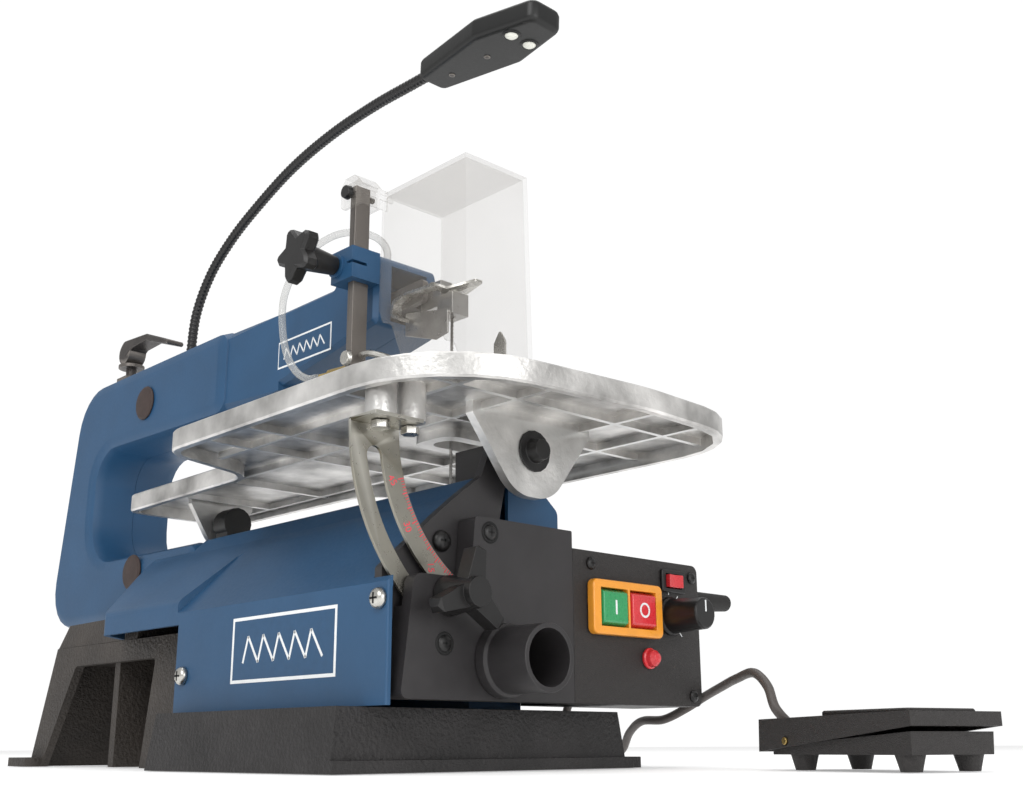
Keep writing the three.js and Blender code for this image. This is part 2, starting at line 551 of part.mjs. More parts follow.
// ---- motor and drive -----------------------------------------------------------
function motorHousing() {
  const can = bar([RIGHT_HALF + GAP, CRANK_Y, CRANK_Z], [118, CRANK_Y, CRANK_Z], 45, 28);
  const end = bar([118, CRANK_Y, CRANK_Z], [126, CRANK_Y, CRANK_Z], 45, 28, 38);
  const hollow = bar([RIGHT_HALF - 1, CRANK_Y, CRANK_Z], [114, CRANK_Y, CRANK_Z], 41, 24);
  const vents = [];
  for (let i = 0; i < 8; i += 1) {
    const a = (2 * Math.PI * i) / 8;
    vents.push(bar(
      [112, CRANK_Y + 26 * Math.cos(a), CRANK_Z + 26 * Math.sin(a)],
      [128, CRANK_Y + 26 * Math.cos(a), CRANK_Z + 26 * Math.sin(a)], 5, 10,
    ));
  }
  const flat = box(RIGHT_HALF + GAP, 126, CRANK_Y - 30, CRANK_Y + 30, 33.5, 55);
  const foot = cut(flat, hollow);
  return cut(join(cut(join(can, end), hollow), foot), box(0, 140, -160, 60, 20, 48),
    bar([RIGHT_HALF - 1, CRANK_Y, CRANK_Z], [114, CRANK_Y, CRANK_Z], 41, 24), ...vents);
}
add('motor_housing', motorHousing(), BLACK);

function motorRotor() {
  return join(
    bar([48, CRANK_Y, CRANK_Z], [104, CRANK_Y, CRANK_Z], 30, 16),
    bar([8, CRANK_Y, CRANK_Z], [110, CRANK_Y, CRANK_Z], 5, 16),
    bar([8, CRANK_Y, CRANK_Z], [18, CRANK_Y, CRANK_Z], 16, 16),
    bar([-6, CRANK_Y, CRANK_Z + CRANK_THROW], [9, CRANK_Y, CRANK_Z + CRANK_THROW], 6, 16),
  );
}
add('motor_rotor', motorRotor(), STEEL);

// ---- rocker arms ------------------------------------------------------------------
// Beams of boxed steel; each turns on its pin at the back of the frame.
function rockerArm(tip, top, bottom, z, half) {
  const tail = TAIL_Y + 8;
  const beam = alongX(outline([
    [tip, top[0], 3], [tip, top[1], 3], [PIVOT_Y - 20, z + half, 6], [PIVOT_Y + 16, z + half, 6], [tail, z + 9, 6],
    [tail, z - 7, 6], [PIVOT_Y + 16, z - half, 8], [PIVOT_Y - 20, bottom, 6],
  ].reverse()), -10, 10);
  return cut(beam, bar([-20, PIVOT_Y, z], [20, PIVOT_Y, z], 6.3, 16));
}
const ARM_TIP = -172;
const JOINT_Z = 303;                   // upper blade hinge
const LOWER_JOINT_Z = 150;
const upperBeam = rockerArm(ARM_TIP + 2, [296, 311], 272, UPPER_PIVOT_Z, 14);
add('upper_rocker_arm', cut(
  upperBeam,
  box(-5.5, 5.5, ARM_TIP - 5, ARM_TIP + 16, 280, 320),
  box(-7, 7, TAIL_Y - 12, TAIL_Y + 20, 270, 310),
), DARK_STEEL);
const lowerBeam = rockerArm(ARM_TIP + 2, [143, 154], 134, LOWER_PIVOT_Z, 10);
add('lower_rocker_arm', cut(
  lowerBeam,
  box(-6.5, 6.5, ARM_TIP - 5, ARM_TIP + 16, 130, 170),
  box(-7, 7, TAIL_Y - 14, TAIL_Y + 20, 130, 170),
  bar([-12, CRANK_Y, 148], [12, CRANK_Y, 148], 3.3, 16),
  box(-4.5, 4.5, CRANK_Y - 12, CRANK_Y + 12, 120, 158),
), DARK_STEEL);
function connectingRod() {
  const small = alongX(outline([
    [CRANK_Y - 5.5, 143, 2], [CRANK_Y + 5.5, 143, 2], [CRANK_Y + 5.5, 153, 4], [CRANK_Y - 5.5, 153, 4],
  ]), -4, 4);
  const shank = box(-4, 4, CRANK_Y - 4.5, CRANK_Y + 4.5, 108, 144);
  const big = bar([-4, CRANK_Y, CRANK_Z], [4, CRANK_Y, CRANK_Z], 18, 22);
  const bore = bar([-6, CRANK_Y, CRANK_Z], [6, CRANK_Y, CRANK_Z], 14.6, 22);
  return cut(join(small, shank, big), bore, bar([-6, CRANK_Y, 148], [6, CRANK_Y, 148], 3.3, 16));
}
add('connecting_rod', connectingRod(), STEEL);

// Rod that holds the tails of both arms together, with the quick lever on its top.
add('tension_rod', join(
  bar([0, TAIL_Y, 125], [0, TAIL_Y, 349], 4.6, 16),
  box(-9, 9, TAIL_Y - 9, TAIL_Y + 9, 329, 339),
  box(-10, 10, TAIL_Y - 8, TAIL_Y + 8, 311, 316),
  box(-10, 10, TAIL_Y - 8, TAIL_Y + 8, 123, 128),
  bar([0, TAIL_Y, 348], [0, TAIL_Y, 351], 11.5, 22),
), DARK_STEEL);
function tensionLever() {
  const cam = bar([-8, TAIL_Y, LEVER_Z], [8, TAIL_Y, LEVER_Z], 10.6, 20);
  const arm = alongX(outline([
    [TAIL_Y, 357, 2], [TAIL_Y + 7, 366, 2], [TAIL_Y + 4, 374, 5], [TAIL_Y - 40, 371, 5],
    [TAIL_Y - 80, 356, 1.8], [TAIL_Y - 79, 352, 1.8], [TAIL_Y - 40, 365, 5], [TAIL_Y - 14, 364, 5],
  ]), -8.5, 8.5, 1, 2, 1);
  return join(cam, arm);
}
add('tension_lever', tensionLever(), DARK_STEEL);

// ---- blade and its clamps -----------------------------------------------------------
add('blade', box(-0.3, 0.3, BLADE_Y - 1.3, BLADE_Y + 1.3, 157, 292), STEEL);
function upperClamp() {
  const block = box(-7, 7, -196, -181, 281, 296);
  const neck = box(-5, 5, -182, ARM_TIP + 10, 290, 308);
  const tongue = alongX(outline([
    [-193, 268, 1], [-181, 266, 1], [-150, 276, 1], [-150, 292, 1], [-193, 284, 1],
  ]), -8.4, -7);
  const boss = bar([-5, ARM_TIP, JOINT_Z], [5, ARM_TIP, JOINT_Z], 6, 16);
  const slot = box(-0.6, 0.6, -191, BLADE_Y + 1.8, 280, 293);
  return cut(join(block, neck, tongue, boss), slot);
}
add('upper_blade_clamp', upperClamp(), STEEL);
function clampLever() {
  const plate = alongZ(outline([
    [-9, -183.5, 2], [-3, -214, 1], [3, -214, 1], [9, -192, 3], [9, -183.5, 2],
  ]), 298.3, 300);
  const curl = alongX(outline([
    [-187, 298.3], [-160, 299.6, 8], [-149.5, 297, 3], [-147.5, 290, 3], [-157, 284.6], [-156, 283],
    [-145, 288.6, 5], [-147, 299.4, 5], [-160, 301.4, 10], [-187, 300],
  ]), -18, -10.4);
  const bridge = box(-18, -7, -191, -183.5, 298.3, 300);
  const screw = bar([0, -188.5, 297.2], [0, -188.5, 298.5], 4, 12);
  return join(plate, curl, bridge, screw);
}
add('clamp_lever', clampLever(), STEEL);
add('lower_blade_clamp', cut(
  join(
    box(-6, 6, -195, -181, 153, 168),
    box(-5, 5, -182, ARM_TIP + 6, 146, 158),
  ),
  box(-0.6, 0.6, BLADE_Y - 1.8, BLADE_Y + 1.8, 152, 169),
), STEEL);

// ---- table ------------------------------------------------------------------------
const HOLE = { x0: -15, x1: 35, y: BLADE_Y };
function tableOutline(d) {
  return inset([
    [-TABLE_HALF, TABLE_FRONT + 8, 72], [20, TABLE_FRONT - 4, 200], [TABLE_HALF, TABLE_FRONT + 3, 58],
    [TABLE_HALF, TABLE_BACK - 6, 26], [TAIL_HALF, TABLE_BACK + 22, 26], [TAIL_HALF - 2, TAIL_END, 12],
    [-TAIL_HALF + 2, TAIL_END - 6, 12], [-TAIL_HALF, TABLE_BACK + 22, 26], [-TABLE_HALF, TABLE_BACK - 6, 26],
  ], d);
}
function lug(y0, y1, half, bottom, r) {
  return alongY(outline([
    [-half, TABLE_TOP - 4], [half, TABLE_TOP - 4], [half, TABLE_TOP - 12, 2],
    [r * 0.55, bottom, r * 0.92], [-r * 0.55, bottom, r * 0.92], [-half, TABLE_TOP - 12, 2],
  ].reverse()), y0, y1, 0, 5);
}
const BOSS = [[-112, -261], [-92, -261]];
function tableTop() {
  const plate = alongZ(outline(tableOutline(0)), TABLE_TOP - RIM_H, TABLE_TOP, 1.2, 3, 1);
  const under = alongZ(outline(tableOutline(5.5)), TABLE_TOP - RIM_H - 1, TABLE_TOP - 5, 0, 2);
  const inside = alongZ(outline(tableOutline(4.5)), TABLE_TOP - RIM_H, TABLE_TOP - 4.5, 0, 2);
  const ribs = [];
  for (const x of [-84, -40, 40, 84]) {
    ribs.push(box(x - 1.8, x + 1.8, TABLE_FRONT, x * x > 3000 ? TABLE_BACK : TAIL_END, 197, TABLE_TOP - 4.6));
  }
  for (const y of [-290, -235, -135, -90, 10, 80]) {
    ribs.push(box(-140, 140, y - 1.8, y + 1.8, 197, TABLE_TOP - 4.6));
  }
  const ring = alongZ(outline([
    [HOLE.x0 - 4, HOLE.y - 19, 12], [HOLE.x1 + 4, HOLE.y - 19, 12], [HOLE.x1 + 4, HOLE.y + 19, 12],
    [HOLE.x0 - 4, HOLE.y + 19, 12],
  ]), 196, TABLE_TOP - 4.6);
  const ribSet = common(join(...ribs), inside);
  const bosses = BOSS.map(([x, y]) => bar([x, y, 180.3], [x, y, TABLE_TOP - 4.6], 8.5, 16));
  const body = join(
    cut(plate, under), ribSet, ring, ...bosses,
    lug(LUG_Y, LUG_Y + 6, 48, 151.5, 27), lug(86, 91, 27, 164.5, 15),
  );
  const seat = alongZ(outline([
    [HOLE.x0, HOLE.y - 14, 13], [HOLE.x1, HOLE.y - 14, 13], [HOLE.x1, HOLE.y + 14, 13], [HOLE.x0, HOLE.y + 14, 13],
  ]), TABLE_TOP - 3, TABLE_TOP + 1);
  const through = alongZ(outline([
    [HOLE.x0 + 4, HOLE.y - 10, 9], [HOLE.x1 - 3, HOLE.y - 10, 9], [HOLE.x1 - 3, HOLE.y + 10, 9],
    [HOLE.x0 + 4, HOLE.y + 10, 9],
  ]), 190, TABLE_TOP + 1);
  return cut(
    body, seat, through,
    bar([0, LUG_Y - 5, TILT_Z], [0, LUG_Y + 8, TILT_Z], 6.3, 16),
    bar([0, 80, TILT_Z], [0, 100, TILT_Z], 5.3, 16),
    ...BOSS.map(([x, y]) => bar([x, y, 179], [x, y, 194], 2.4, 10)),
  );
}
add('table_top', tableTop(), ALLOY);
add('table_insert', cut(
  alongZ(outline([
    [HOLE.x0 + GAP, HOLE.y - 13.7, 12.7], [HOLE.x1 - GAP, HOLE.y - 13.7, 12.7],
    [HOLE.x1 - GAP, HOLE.y + 13.7, 12.7], [HOLE.x0 + GAP, HOLE.y + 13.7, 12.7],
  ]), TABLE_TOP - 3 + GAP, TABLE_TOP),
  box(-4, 31, HOLE.y - 3.2, HOLE.y + 3.2, 190, 210),
), ALLOY);

// Slotted sector that shows and locks the tilt; its arcs are centred on the tilt axis.
function quadrant() {
  const shape = new THREE.Shape();
  const from = rad(188);
  const to = rad(243);
  shape.absarc(0, TILT_Z, 124, from, to, false);
  shape.absarc(0, TILT_Z, 91.5, to, rad(180.5), true);
  shape.lineTo(-123.8, TILT_Z);
  shape.closePath();
  const slot = new THREE.Path();
  const s0 = rad(STUD_ANGLE - 45.5);
  const s1 = rad(STUD_ANGLE + 1);
  slot.absarc(0, TILT_Z, SLOT_R + 5, s0, s1, false);
  slot.absarc(SLOT_R * Math.cos(s1), TILT_Z + SLOT_R * Math.sin(s1), 5, s1, s1 + Math.PI, false);
  slot.absarc(0, TILT_Z, SLOT_R - 5, s1, s0, true);
  slot.absarc(SLOT_R * Math.cos(s0), TILT_Z + SLOT_R * Math.sin(s0), 5, s0 + Math.PI, s0 + 2 * Math.PI, false);
  shape.holes.push(slot);
  const plate = alongY(shape, QUAD_Y, QUAD_Y + 2, 0, 9);
  const flange = cut(
    box(-123.5, -91.7, -272, QUAD_Y + 2, TILT_Z - 1, TILT_Z + 1),
    ...BOSS.map(([x, y]) => bar([x, y, 170], [x, y, 190], 2.6, 10)),
  );
  return join(plate, flange);
}
add('tilt_quadrant', quadrant(), STEEL);
BOSS.forEach(([x, y], i) => {
  const head = bar([x, y, TILT_Z - 1 - GAP], [x, y, TILT_Z - 5.5], 5.2, 6);
  const shank = bar([x, y, TILT_Z - 2], [x, y, TILT_Z + 12], 2.1, 12);
  add(`quadrant_screw_${i + 1}`, join(head, shank), STEEL);
});

add('front_pivot_bolt', join(
  bar([0, LUG_Y - 1.2, TILT_Z], [0, LUG_Y - GAP, TILT_Z], 12.5, 16),
  bar([0, LUG_Y - 8, TILT_Z], [0, LUG_Y - 1, TILT_Z], 6, 20, 7.5),
  bar([0, LUG_Y - 2, TILT_Z], [0, LUG_Y + 9.6, TILT_Z], 5.8, 16),
), BLACK);
// End plate of the body; it carries the front pivot of the table.
add('end_plate', join(
  alongY(outline([
    [-97.3, 37, 2], [40.5, 37, 2], [40.5, 124, 4], [-14, 133, 6], [-7, 164, 6], [15, 172, 6], [15, 193, 14],
    [-15, 193, 14],
    [-27, 163, 3], [-44, 150.4, 6], [-61, 136.4, 6], [-97.3, 104.5, 3],
  ]), END_Y, END_Y + 6, 0, 2),
  bar([0, LUG_Y + 9.9, TILT_Z], [0, END_Y + 1, TILT_Z], 12, 16),
  box(-12, 12, END_Y + 1, -206, 166, 186),
), BLACK);
add('rear_trunnion', join(
  box(-9, 9, 61.3, 78.7, BODY_TOP - 0.3, TILT_Z - 4),
  bar([0, 61.3, TILT_Z], [0, 78.7, TILT_Z], 12, 16),
  bar([0, 78, TILT_Z], [0, 98, TILT_Z], 4.9, 16),
), BLACK);

// Three-lobed knob on the lock stud.
function tiltKnob() {
  const [x, z] = KNOB_AT;
  const front = FRONT_Y - 12;
  const lobes = [80, 200, 320].map((a) => hull([0, 1].flatMap((i) => [
    [x + 7 * Math.cos(rad(a + 90)), front - 10 * i, z + 7 * Math.sin(rad(a + 90))],
    [x + 7 * Math.cos(rad(a - 90)), front - 10 * i, z + 7 * Math.sin(rad(a - 90))],
    [x + 24 * Math.cos(rad(a + 9)), front - 10 * i, z + 24 * Math.sin(rad(a + 9))],
    [x + 24 * Math.cos(rad(a - 9)), front - 10 * i, z + 24 * Math.sin(rad(a - 9))],
    [x + 25.5 * Math.cos(rad(a)), front - 2 - 6 * i, z + 25.5 * Math.sin(rad(a))],
  ])));
  return join(
    ...lobes,
    bar([x, FRONT_Y - 1, z], [x, front - 14, z], 11, 24, 8),
    bar([x, FRONT_Y - 2, z], [x, END_Y - 0.4, z], 2.9, 12),
    bar([x, QUAD_Y + 2.4, z], [x, END_Y - 0.4, z], 6.5, 6),
  );
}
add('tilt_lock_knob', tiltKnob(), BLACK);

// ---- hold-down post, foot and guard --------------------------------------------------
const CLAMP_X = -ARM_HALF - GAP;
add('post_clamp', cut(
  join(
    box(POST_X - 12, CLAMP_X, POST_Y - 9.4, POST_Y + 14, 309, 331),
    bar([POST_X - 14, POST_Y + 7, 320], [POST_X - 10, POST_Y + 7, 320], 8, 16),
  ),
  box(POST_X - 6.4, POST_X + 6.4, POST_Y - 3.4, POST_Y + 3.4, 300, 340),
  box(POST_X - 20, POST_X, POST_Y - 20, POST_Y - 3.3, 319, 321),
  bar([POST_X - 20, POST_Y + 7, 320], [POST_X - 5, POST_Y + 7, 320], 3.2, 12),
), BLUE);
add('hold_down_post', cut(
  box(POST_X - 6, POST_X + 6, POST_Y - 3, POST_Y + 3, 246, 378),
  bar([POST_X - 10, POST_Y, GUARD_PIVOT], [POST_X + 10, POST_Y, GUARD_PIVOT], 2.4, 12),
), DARK_STEEL);

// Bent wire foot: from the post, around the blade, ending in an upright tab.
const FOOT_Z = 238;
const WIRE = 4.6;
function presserFoot() {
  const wire = cord([
    [POST_X, POST_Y - 5.8, 258], [POST_X, POST_Y - 13, 258], [-34, -155.5, 256], [-27, -162, 252.5],
    [-21.5, -170, 247.5], [-19.5, -180, 242], [-19, -190, FOOT_Z + 0.6], [-18.5, -200, FOOT_Z],
    [-15, -208, FOOT_Z], [-6, -212, FOOT_Z], [6, -212, FOOT_Z], [13, -208, FOOT_Z], [15, -200, FOOT_Z],
    [15, -182, FOOT_Z], [13, -170, FOOT_Z],
  ], WIRE, 36, 6);
  const tab = alongX(outline([
    [-219, FOOT_Z - 1, 1], [-208.5, FOOT_Z - 1, 1], [-208.5, 262, 2], [-214, 270, 1], [-219, 262, 2],
  ]), 17.6, 19);
  const strap = box(14, 19, -219, -205, FOOT_Z - 1.2, FOOT_Z + 1.2);
  return join(wire, tab, strap, box(8, 15, -214.3, -206, FOOT_Z - 1.2, FOOT_Z + 1.2));
}
add('presser_foot', presserFoot(), STEEL);
add('foot_screw', join(
  bar([POST_X - 6.3, POST_Y, 256], [POST_X - 9.5, POST_Y, 256], 5.6, 18, 4.6),
), STEEL);
add('air_nozzle', join(
  bar([POST_X, POST_Y + 3.8, 251], [POST_X - 3, POST_Y + 24, 251], 3.4, 12),
  bar([POST_X - 3, POST_Y + 23.9, 251], [POST_X - 4.5, POST_Y + 33, 251], 2, 10),
), BRASS);

// Clear guard: two side walls, front and top, on an arm that is screwed to the post.
function guardShield() {
  const wall = 2;
  const outerBox = hull([
    [-GUARD.x, GUARD.front, GUARD.top], [GUARD.x, GUARD.front, GUARD.top],
    [-GUARD.x, GUARD.back, GUARD.top], [GUARD.x, GUARD.back, GUARD.top],
    [-GUARD.x - 1, GUARD.front - 3, GUARD.bottom], [GUARD.x + 1, GUARD.front - 3, GUARD.bottom],
    [-GUARD.x - 1, GUARD.back, GUARD.bottom], [GUARD.x + 1, GUARD.back, GUARD.bottom],
  ]);
  const innerBox = hull([
    [-GUARD.x + wall, GUARD.front + wall, GUARD.top - wall], [GUARD.x - wall, GUARD.front + wall, GUARD.top - wall],
    [-GUARD.x + wall, -130, GUARD.top - wall], [GUARD.x - wall, -130, GUARD.top - wall],
    [-GUARD.x - 1 + wall, GUARD.front - 3.1 + wall, 220], [GUARD.x + 1 - wall, GUARD.front - 3.1 + wall, 220],
    [-GUARD.x - 1 + wall, -130, 220], [GUARD.x + 1 - wall, -130, 220],
  ]);
  const notch = alongX(outline([
    [-171, 220], [-130, 220], [-130, 291], [-146, 291, 3], [-150, 281, 6], [-160, 277, 7], [-171, 252, 10],
  ]), -40, 40);
  const plateArm = box(-49, -18, GUARD.back - 0.4, POST_Y - 8.5, 370, 374);
  const cheeks = [-1, 1].map((side) => alongX(outline([
    [GUARD.back - 2, 362, 1], [POST_Y + 10, 362, 4], [POST_Y + 10, 384, 8], [POST_Y - 5, 384, 4],
    [GUARD.back - 2, 376, 1],
  ]), side < 0 ? POST_X - 9 : POST_X + 6.5, side < 0 ? POST_X - 6.5 : POST_X + 9));
  const roof = box(POST_X - 9, POST_X + 9, POST_Y - 5, POST_Y + 6, 381, 384);
  const backPlate = box(POST_X - 9, -GUARD.x + 3, GUARD.back - 2, GUARD.back - 0.2, 362, 376);
  const body = join(cut(outerBox, innerBox, notch), plateArm, ...cheeks, roof, backPlate);
  return cut(body, bar([POST_X - 15, POST_Y, GUARD_PIVOT], [POST_X + 15, POST_Y, GUARD_PIVOT], 2.4, 12));
}
add('guard_shield', guardShield(), CLEAR);
add('guard_screw', join(
  bar([POST_X - 9.3, POST_Y, GUARD_PIVOT], [POST_X - 13.5, POST_Y, GUARD_PIVOT], 5, 20, 4.4),
  bar([POST_X - 10, POST_Y, GUARD_PIVOT], [POST_X + 11, POST_Y, GUARD_PIVOT], 2.1, 12),
), BLACK);

// Five-lobed knob that clamps the post.
function starKnob() {
  const outlineStar = new THREE.Shape();
  const lobes = 5;
  const steps = 30;
  for (let i = 0; i < steps; i += 1) {
    const a = (2 * Math.PI * i) / steps;
    const r = 15.5 + 3.8 * Math.cos(lobes * a);
    const [u, v] = [r * Math.cos(a), r * Math.sin(a)];
    if (i === 0) outlineStar.moveTo(u, v);
    else outlineStar.lineTo(u, v);
  }
  outlineStar.closePath();
  const disc = alongX(outlineStar, 0, 11, 2, 1, 1);
  const at = [POST_X - 48, POST_Y + 7, 320];
  return join(
    disc.translate(...at),
    bar([at[0] + 10.9, at[1], at[2]], [POST_X - 15, at[1], at[2]], 9, 20, 6.4),
    bar([POST_X - 15.1, at[1], at[2]], [POST_X - 6, at[1], at[2]], 2.9, 12),
  );
}
add('post_clamp_knob', starKnob(), BLACK);

// Clear hose from the fitting on the head, round behind the knob, to the nozzle.
const HOSE_D = 5.2;
const HOSE = [
  [-8, -128, 336.3], [-8, -128, 343], [-10, -122, 353], [-18, -108, 361], [-27, -92, 361], [-36, -78, 352],
  [-41, -64, 338], [-43, -55, 320], [-43, -55, 298], [-43, -63, 275], [-43, -76, 260], [-43, -90, 252.5],
  [-42.9, -100, 251],
];
add('air_hose', cord(HOSE, HOSE_D, 32), CLEAR);

// ---- lamp ---------------------------------------------------------------------------
const NECK = [
  [0, 153, 323], [0, 153, 340], [0, 148, 372], [0, 128, 402], [0, 96, 425], [0, 56, 443], [0, 8, 459],
  [0, -44, 468], [0, -98, 471], [0, -142, 470], [0, -158.5, 469.6],
];
const LAMP_Z = 469;
add('gooseneck', join(
  cord(NECK, 8.4, 32),
  bar([0, 153, 322.3], [0, 153, 328], 8, 16, 5.2),
  bar([0, 153, 312], [0, 153, 323], 5.8, 16),
), BLACK);
function lampHead() {
  const plan = [
    [-12, -163, 6], [-22.5, -232, 9], [-13, -279, 7], [13, -279, 7], [22.5, -232, 9], [12, -163, 6],
  ];
  return alongZ(outline(plan), -8, 8, 4, 2, 2).translate(0, 162, 0).rotateX(rad(3)).translate(0, -162, LAMP_Z - 1);
}
add('lamp_head', lampHead(), BLACK);

// ---- foot switch ----------------------------------------------------------------------
// Built along its own axes, u along its length and v across, then turned on the bench.
const pedal = new THREE.Group();
pedal.position.set(PEDAL.x, PEDAL.y, 0);
pedal.rotation.z = rad(PEDAL.turn);
root.add(pedal);
const P_LEN = PEDAL.length;
const P_WID = PEDAL.width;
const PEDAL_PIN = [86, 15];
function pedalBase() {
  const tray = hull([
    [0, 0, 8], [P_LEN - 8, 0, 8], [0, -P_WID, 8], [P_LEN - 8, -P_WID, 8],
    [-0.6, 0.4, 19], [74, 0.4, 14], [-0.6, -P_WID - 0.4, 19], [74, -P_WID - 0.4, 14],
    [P_LEN - 8, 0, 11], [P_LEN - 8, -P_WID, 11],
  ]);
  const feet = [[9, -8], [P_LEN - 24, -8], [9, -P_WID + 8], [P_LEN - 24, -P_WID + 8]].map(([u, v]) => (
    bar([u, v, 0], [u, v, 8.2], 5.2, 16, 7.4)));
  return cut(
    join(tray, ...feet, box(P_LEN - 34, P_LEN - 11, -P_WID / 2 - 10, -P_WID / 2 + 10, 10, 20)),
    bar([PEDAL_PIN[0], -80, PEDAL_PIN[1]], [PEDAL_PIN[0], 20, PEDAL_PIN[1]], 2.3, 12),
    box(4, 70, -P_WID + 5, -5, 11, 30),
  );
}
function pedalCover() {
  const shell = hull([
    [-4, 3.4, 21.6], [P_LEN, 3.4, 9.5], [-4, -P_WID - 3.4, 21.6], [P_LEN, -P_WID - 3.4, 9.5],
    [-4, 3.4, 28.6], [P_LEN - 1, 3.4, 26.6], [-4, -P_WID - 3.4, 28.6], [P_LEN - 1, -P_WID - 3.4, 26.6],
  ]);
  const hollow = hull([
    [-1.6, 1.2, 8], [P_LEN - 2.6, 1.2, 5], [-1.6, -P_WID - 1.2, 8], [P_LEN - 2.6, -P_WID - 1.2, 5],
    [-1.6, 1.2, 26.2], [P_LEN - 2.6, 1.2, 24.2], [-1.6, -P_WID - 1.2, 26.2], [P_LEN - 2.6, -P_WID - 1.2, 24.2],
  ]);
  const pad = alongZ(outline([
    [4, -4, 3], [4, -P_WID + 4, 3], [66, -P_WID + 4, 3], [66, -4, 3],
  ]), 27, 30.2, 0.8, 2, 1);
  const cableSlot = box(P_LEN - 6, P_LEN + 4, -P_WID / 2 - 5, -P_WID / 2 + 5, 0, 21);
  return cut(
    join(cut(shell, hollow), pad), cableSlot,
    bar([PEDAL_PIN[0], -80, PEDAL_PIN[1]], [PEDAL_PIN[0], 20, PEDAL_PIN[1]], 2.3, 12),
  );
}
add('pedal_base', pedalBase(), GRAIN, pedal);
add('pedal_cover', pedalCover(), GRAIN, pedal);
add('pedal_pin', bar([PEDAL_PIN[0], -P_WID - 4.4, PEDAL_PIN[1]], [PEDAL_PIN[0], 4.4, PEDAL_PIN[1]], 2, 12), BRASS, pedal);

// ---- pedal cable ---------------------------------------------------------------------
// From the gland behind the housing into the coil, and from the coil to the pedal.
const PEDAL_EXIT = [99, -28, 15];
function pedalPoint([u, v, z]) {
  const c = Math.cos(rad(PEDAL.turn));
  const s = Math.sin(rad(PEDAL.turn));
  return [PEDAL.x + c * u - s * v, PEDAL.y + s * u + c * v, z];
}
const COIL_R = COIL.mean + CORD_D * (COIL.turns - 1) / 2;
const COIL_H = CORD_D * COIL.layers;
add('pedal_cable_coil', new THREE.LatheGeometry([
  [COIL_R - CORD_D * COIL.turns / 2, 0], [COIL_R + CORD_D * COIL.turns / 2, 0],
  [COIL_R + CORD_D * COIL.turns / 2, COIL_H], [COIL_R - CORD_D * COIL.turns / 2, COIL_H],
  [COIL_R - CORD_D * COIL.turns / 2, 0],
].map(([r, h]) => new THREE.Vector2(r, h)), 28).rotateX(Math.PI / 2).translate(COIL.x, COIL.y, 0.2), RUBBER);

const CORD_Z = CORD_D / 2 + 0.2;
const COIL_OUT = COIL_R + CORD_D * COIL.turns / 2;
const CORD_TO_COIL = [
  [132, PANEL.rear + 18.3, 56], [132, -178, 56], [133, -168, 52], [135, -158, 42], [137, -150, 28], [138.5, -142, 14],
  [139, -132, 6], [138, -120, CORD_Z], [136.5, -100, CORD_Z], [COIL.x - COIL_OUT - CORD_D / 2 - GAP, COIL.y - 12, CORD_Z],
  [COIL.x - COIL_OUT - CORD_D / 2 - GAP, COIL.y + 2, CORD_Z],
];
const CORD_TO_PEDAL = [
  [COIL.x + COIL_OUT + CORD_D / 2 + GAP, COIL.y, CORD_Z], [COIL.x + COIL_OUT + CORD_D / 2 + GAP, -84, CORD_Z],
  [211, -110, CORD_Z], [203, -136, CORD_Z + 2], [189, -158, 11], [174, -178, 22], [162, -200, 29], [158, -222, 29.6],
  [158.5, -240, 36], [158, -256, 43], [148, -277, 48], [134, -300, 52], [123, -321, 54], [114.5, -336, 45],
  [110.5, -343, 33], pedalPoint([114.5, -28, 22]), pedalPoint([107, -28, 16]), pedalPoint(PEDAL_EXIT),
];
add('pedal_cable_rear', cord(CORD_TO_COIL, CORD_D, 24), RUBBER);
add('pedal_cable_front', cord(CORD_TO_PEDAL, CORD_D, 48), RUBBER);

export default root;
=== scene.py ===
"""Benchtop scroll saw: looks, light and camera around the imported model."""
import json
import math

import bmesh
import bpy
from mathutils import Matrix, Vector


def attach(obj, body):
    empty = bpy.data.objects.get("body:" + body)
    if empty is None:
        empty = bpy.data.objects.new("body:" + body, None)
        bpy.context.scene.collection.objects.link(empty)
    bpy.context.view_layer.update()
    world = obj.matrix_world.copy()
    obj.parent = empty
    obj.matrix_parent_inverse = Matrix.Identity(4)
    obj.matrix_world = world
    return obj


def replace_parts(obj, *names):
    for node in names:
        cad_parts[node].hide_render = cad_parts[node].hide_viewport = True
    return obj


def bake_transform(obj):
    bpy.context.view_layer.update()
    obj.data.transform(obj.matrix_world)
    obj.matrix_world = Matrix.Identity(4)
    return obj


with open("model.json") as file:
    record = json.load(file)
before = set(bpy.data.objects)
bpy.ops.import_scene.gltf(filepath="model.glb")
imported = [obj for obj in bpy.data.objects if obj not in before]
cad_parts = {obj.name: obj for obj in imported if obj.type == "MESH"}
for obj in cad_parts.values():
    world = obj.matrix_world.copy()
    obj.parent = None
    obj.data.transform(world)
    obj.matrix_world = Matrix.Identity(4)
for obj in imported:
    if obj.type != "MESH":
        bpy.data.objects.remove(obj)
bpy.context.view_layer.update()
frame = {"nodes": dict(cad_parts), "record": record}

NODES = frame["nodes"]
BODY_OF = {n: b for b, names in frame["record"]["behaviour"]["bodies"].items() for n in names}
MM = 0.001
TO_LEFT = (-1, 0, 0)
TO_FRONT = (0, -1, 0)
UP = (0, 0, 1)

# Camera: yaw, pitch and roll in degrees, place in metres.
VIEW_TURN = (46.344, 15.566, -0.285)
VIEW_FROM = (-0.493, -0.760, 0.013)
LENS = 43.3
SENSOR = 36

# Lights aim at the middle of the saw.
AIM = (0, 0, 0.2)
SKY_SEEN = 1.02
SKY_LIGHT = 0.6
FLOOR_HALF = 9
FLOOR_Z = -0.0004

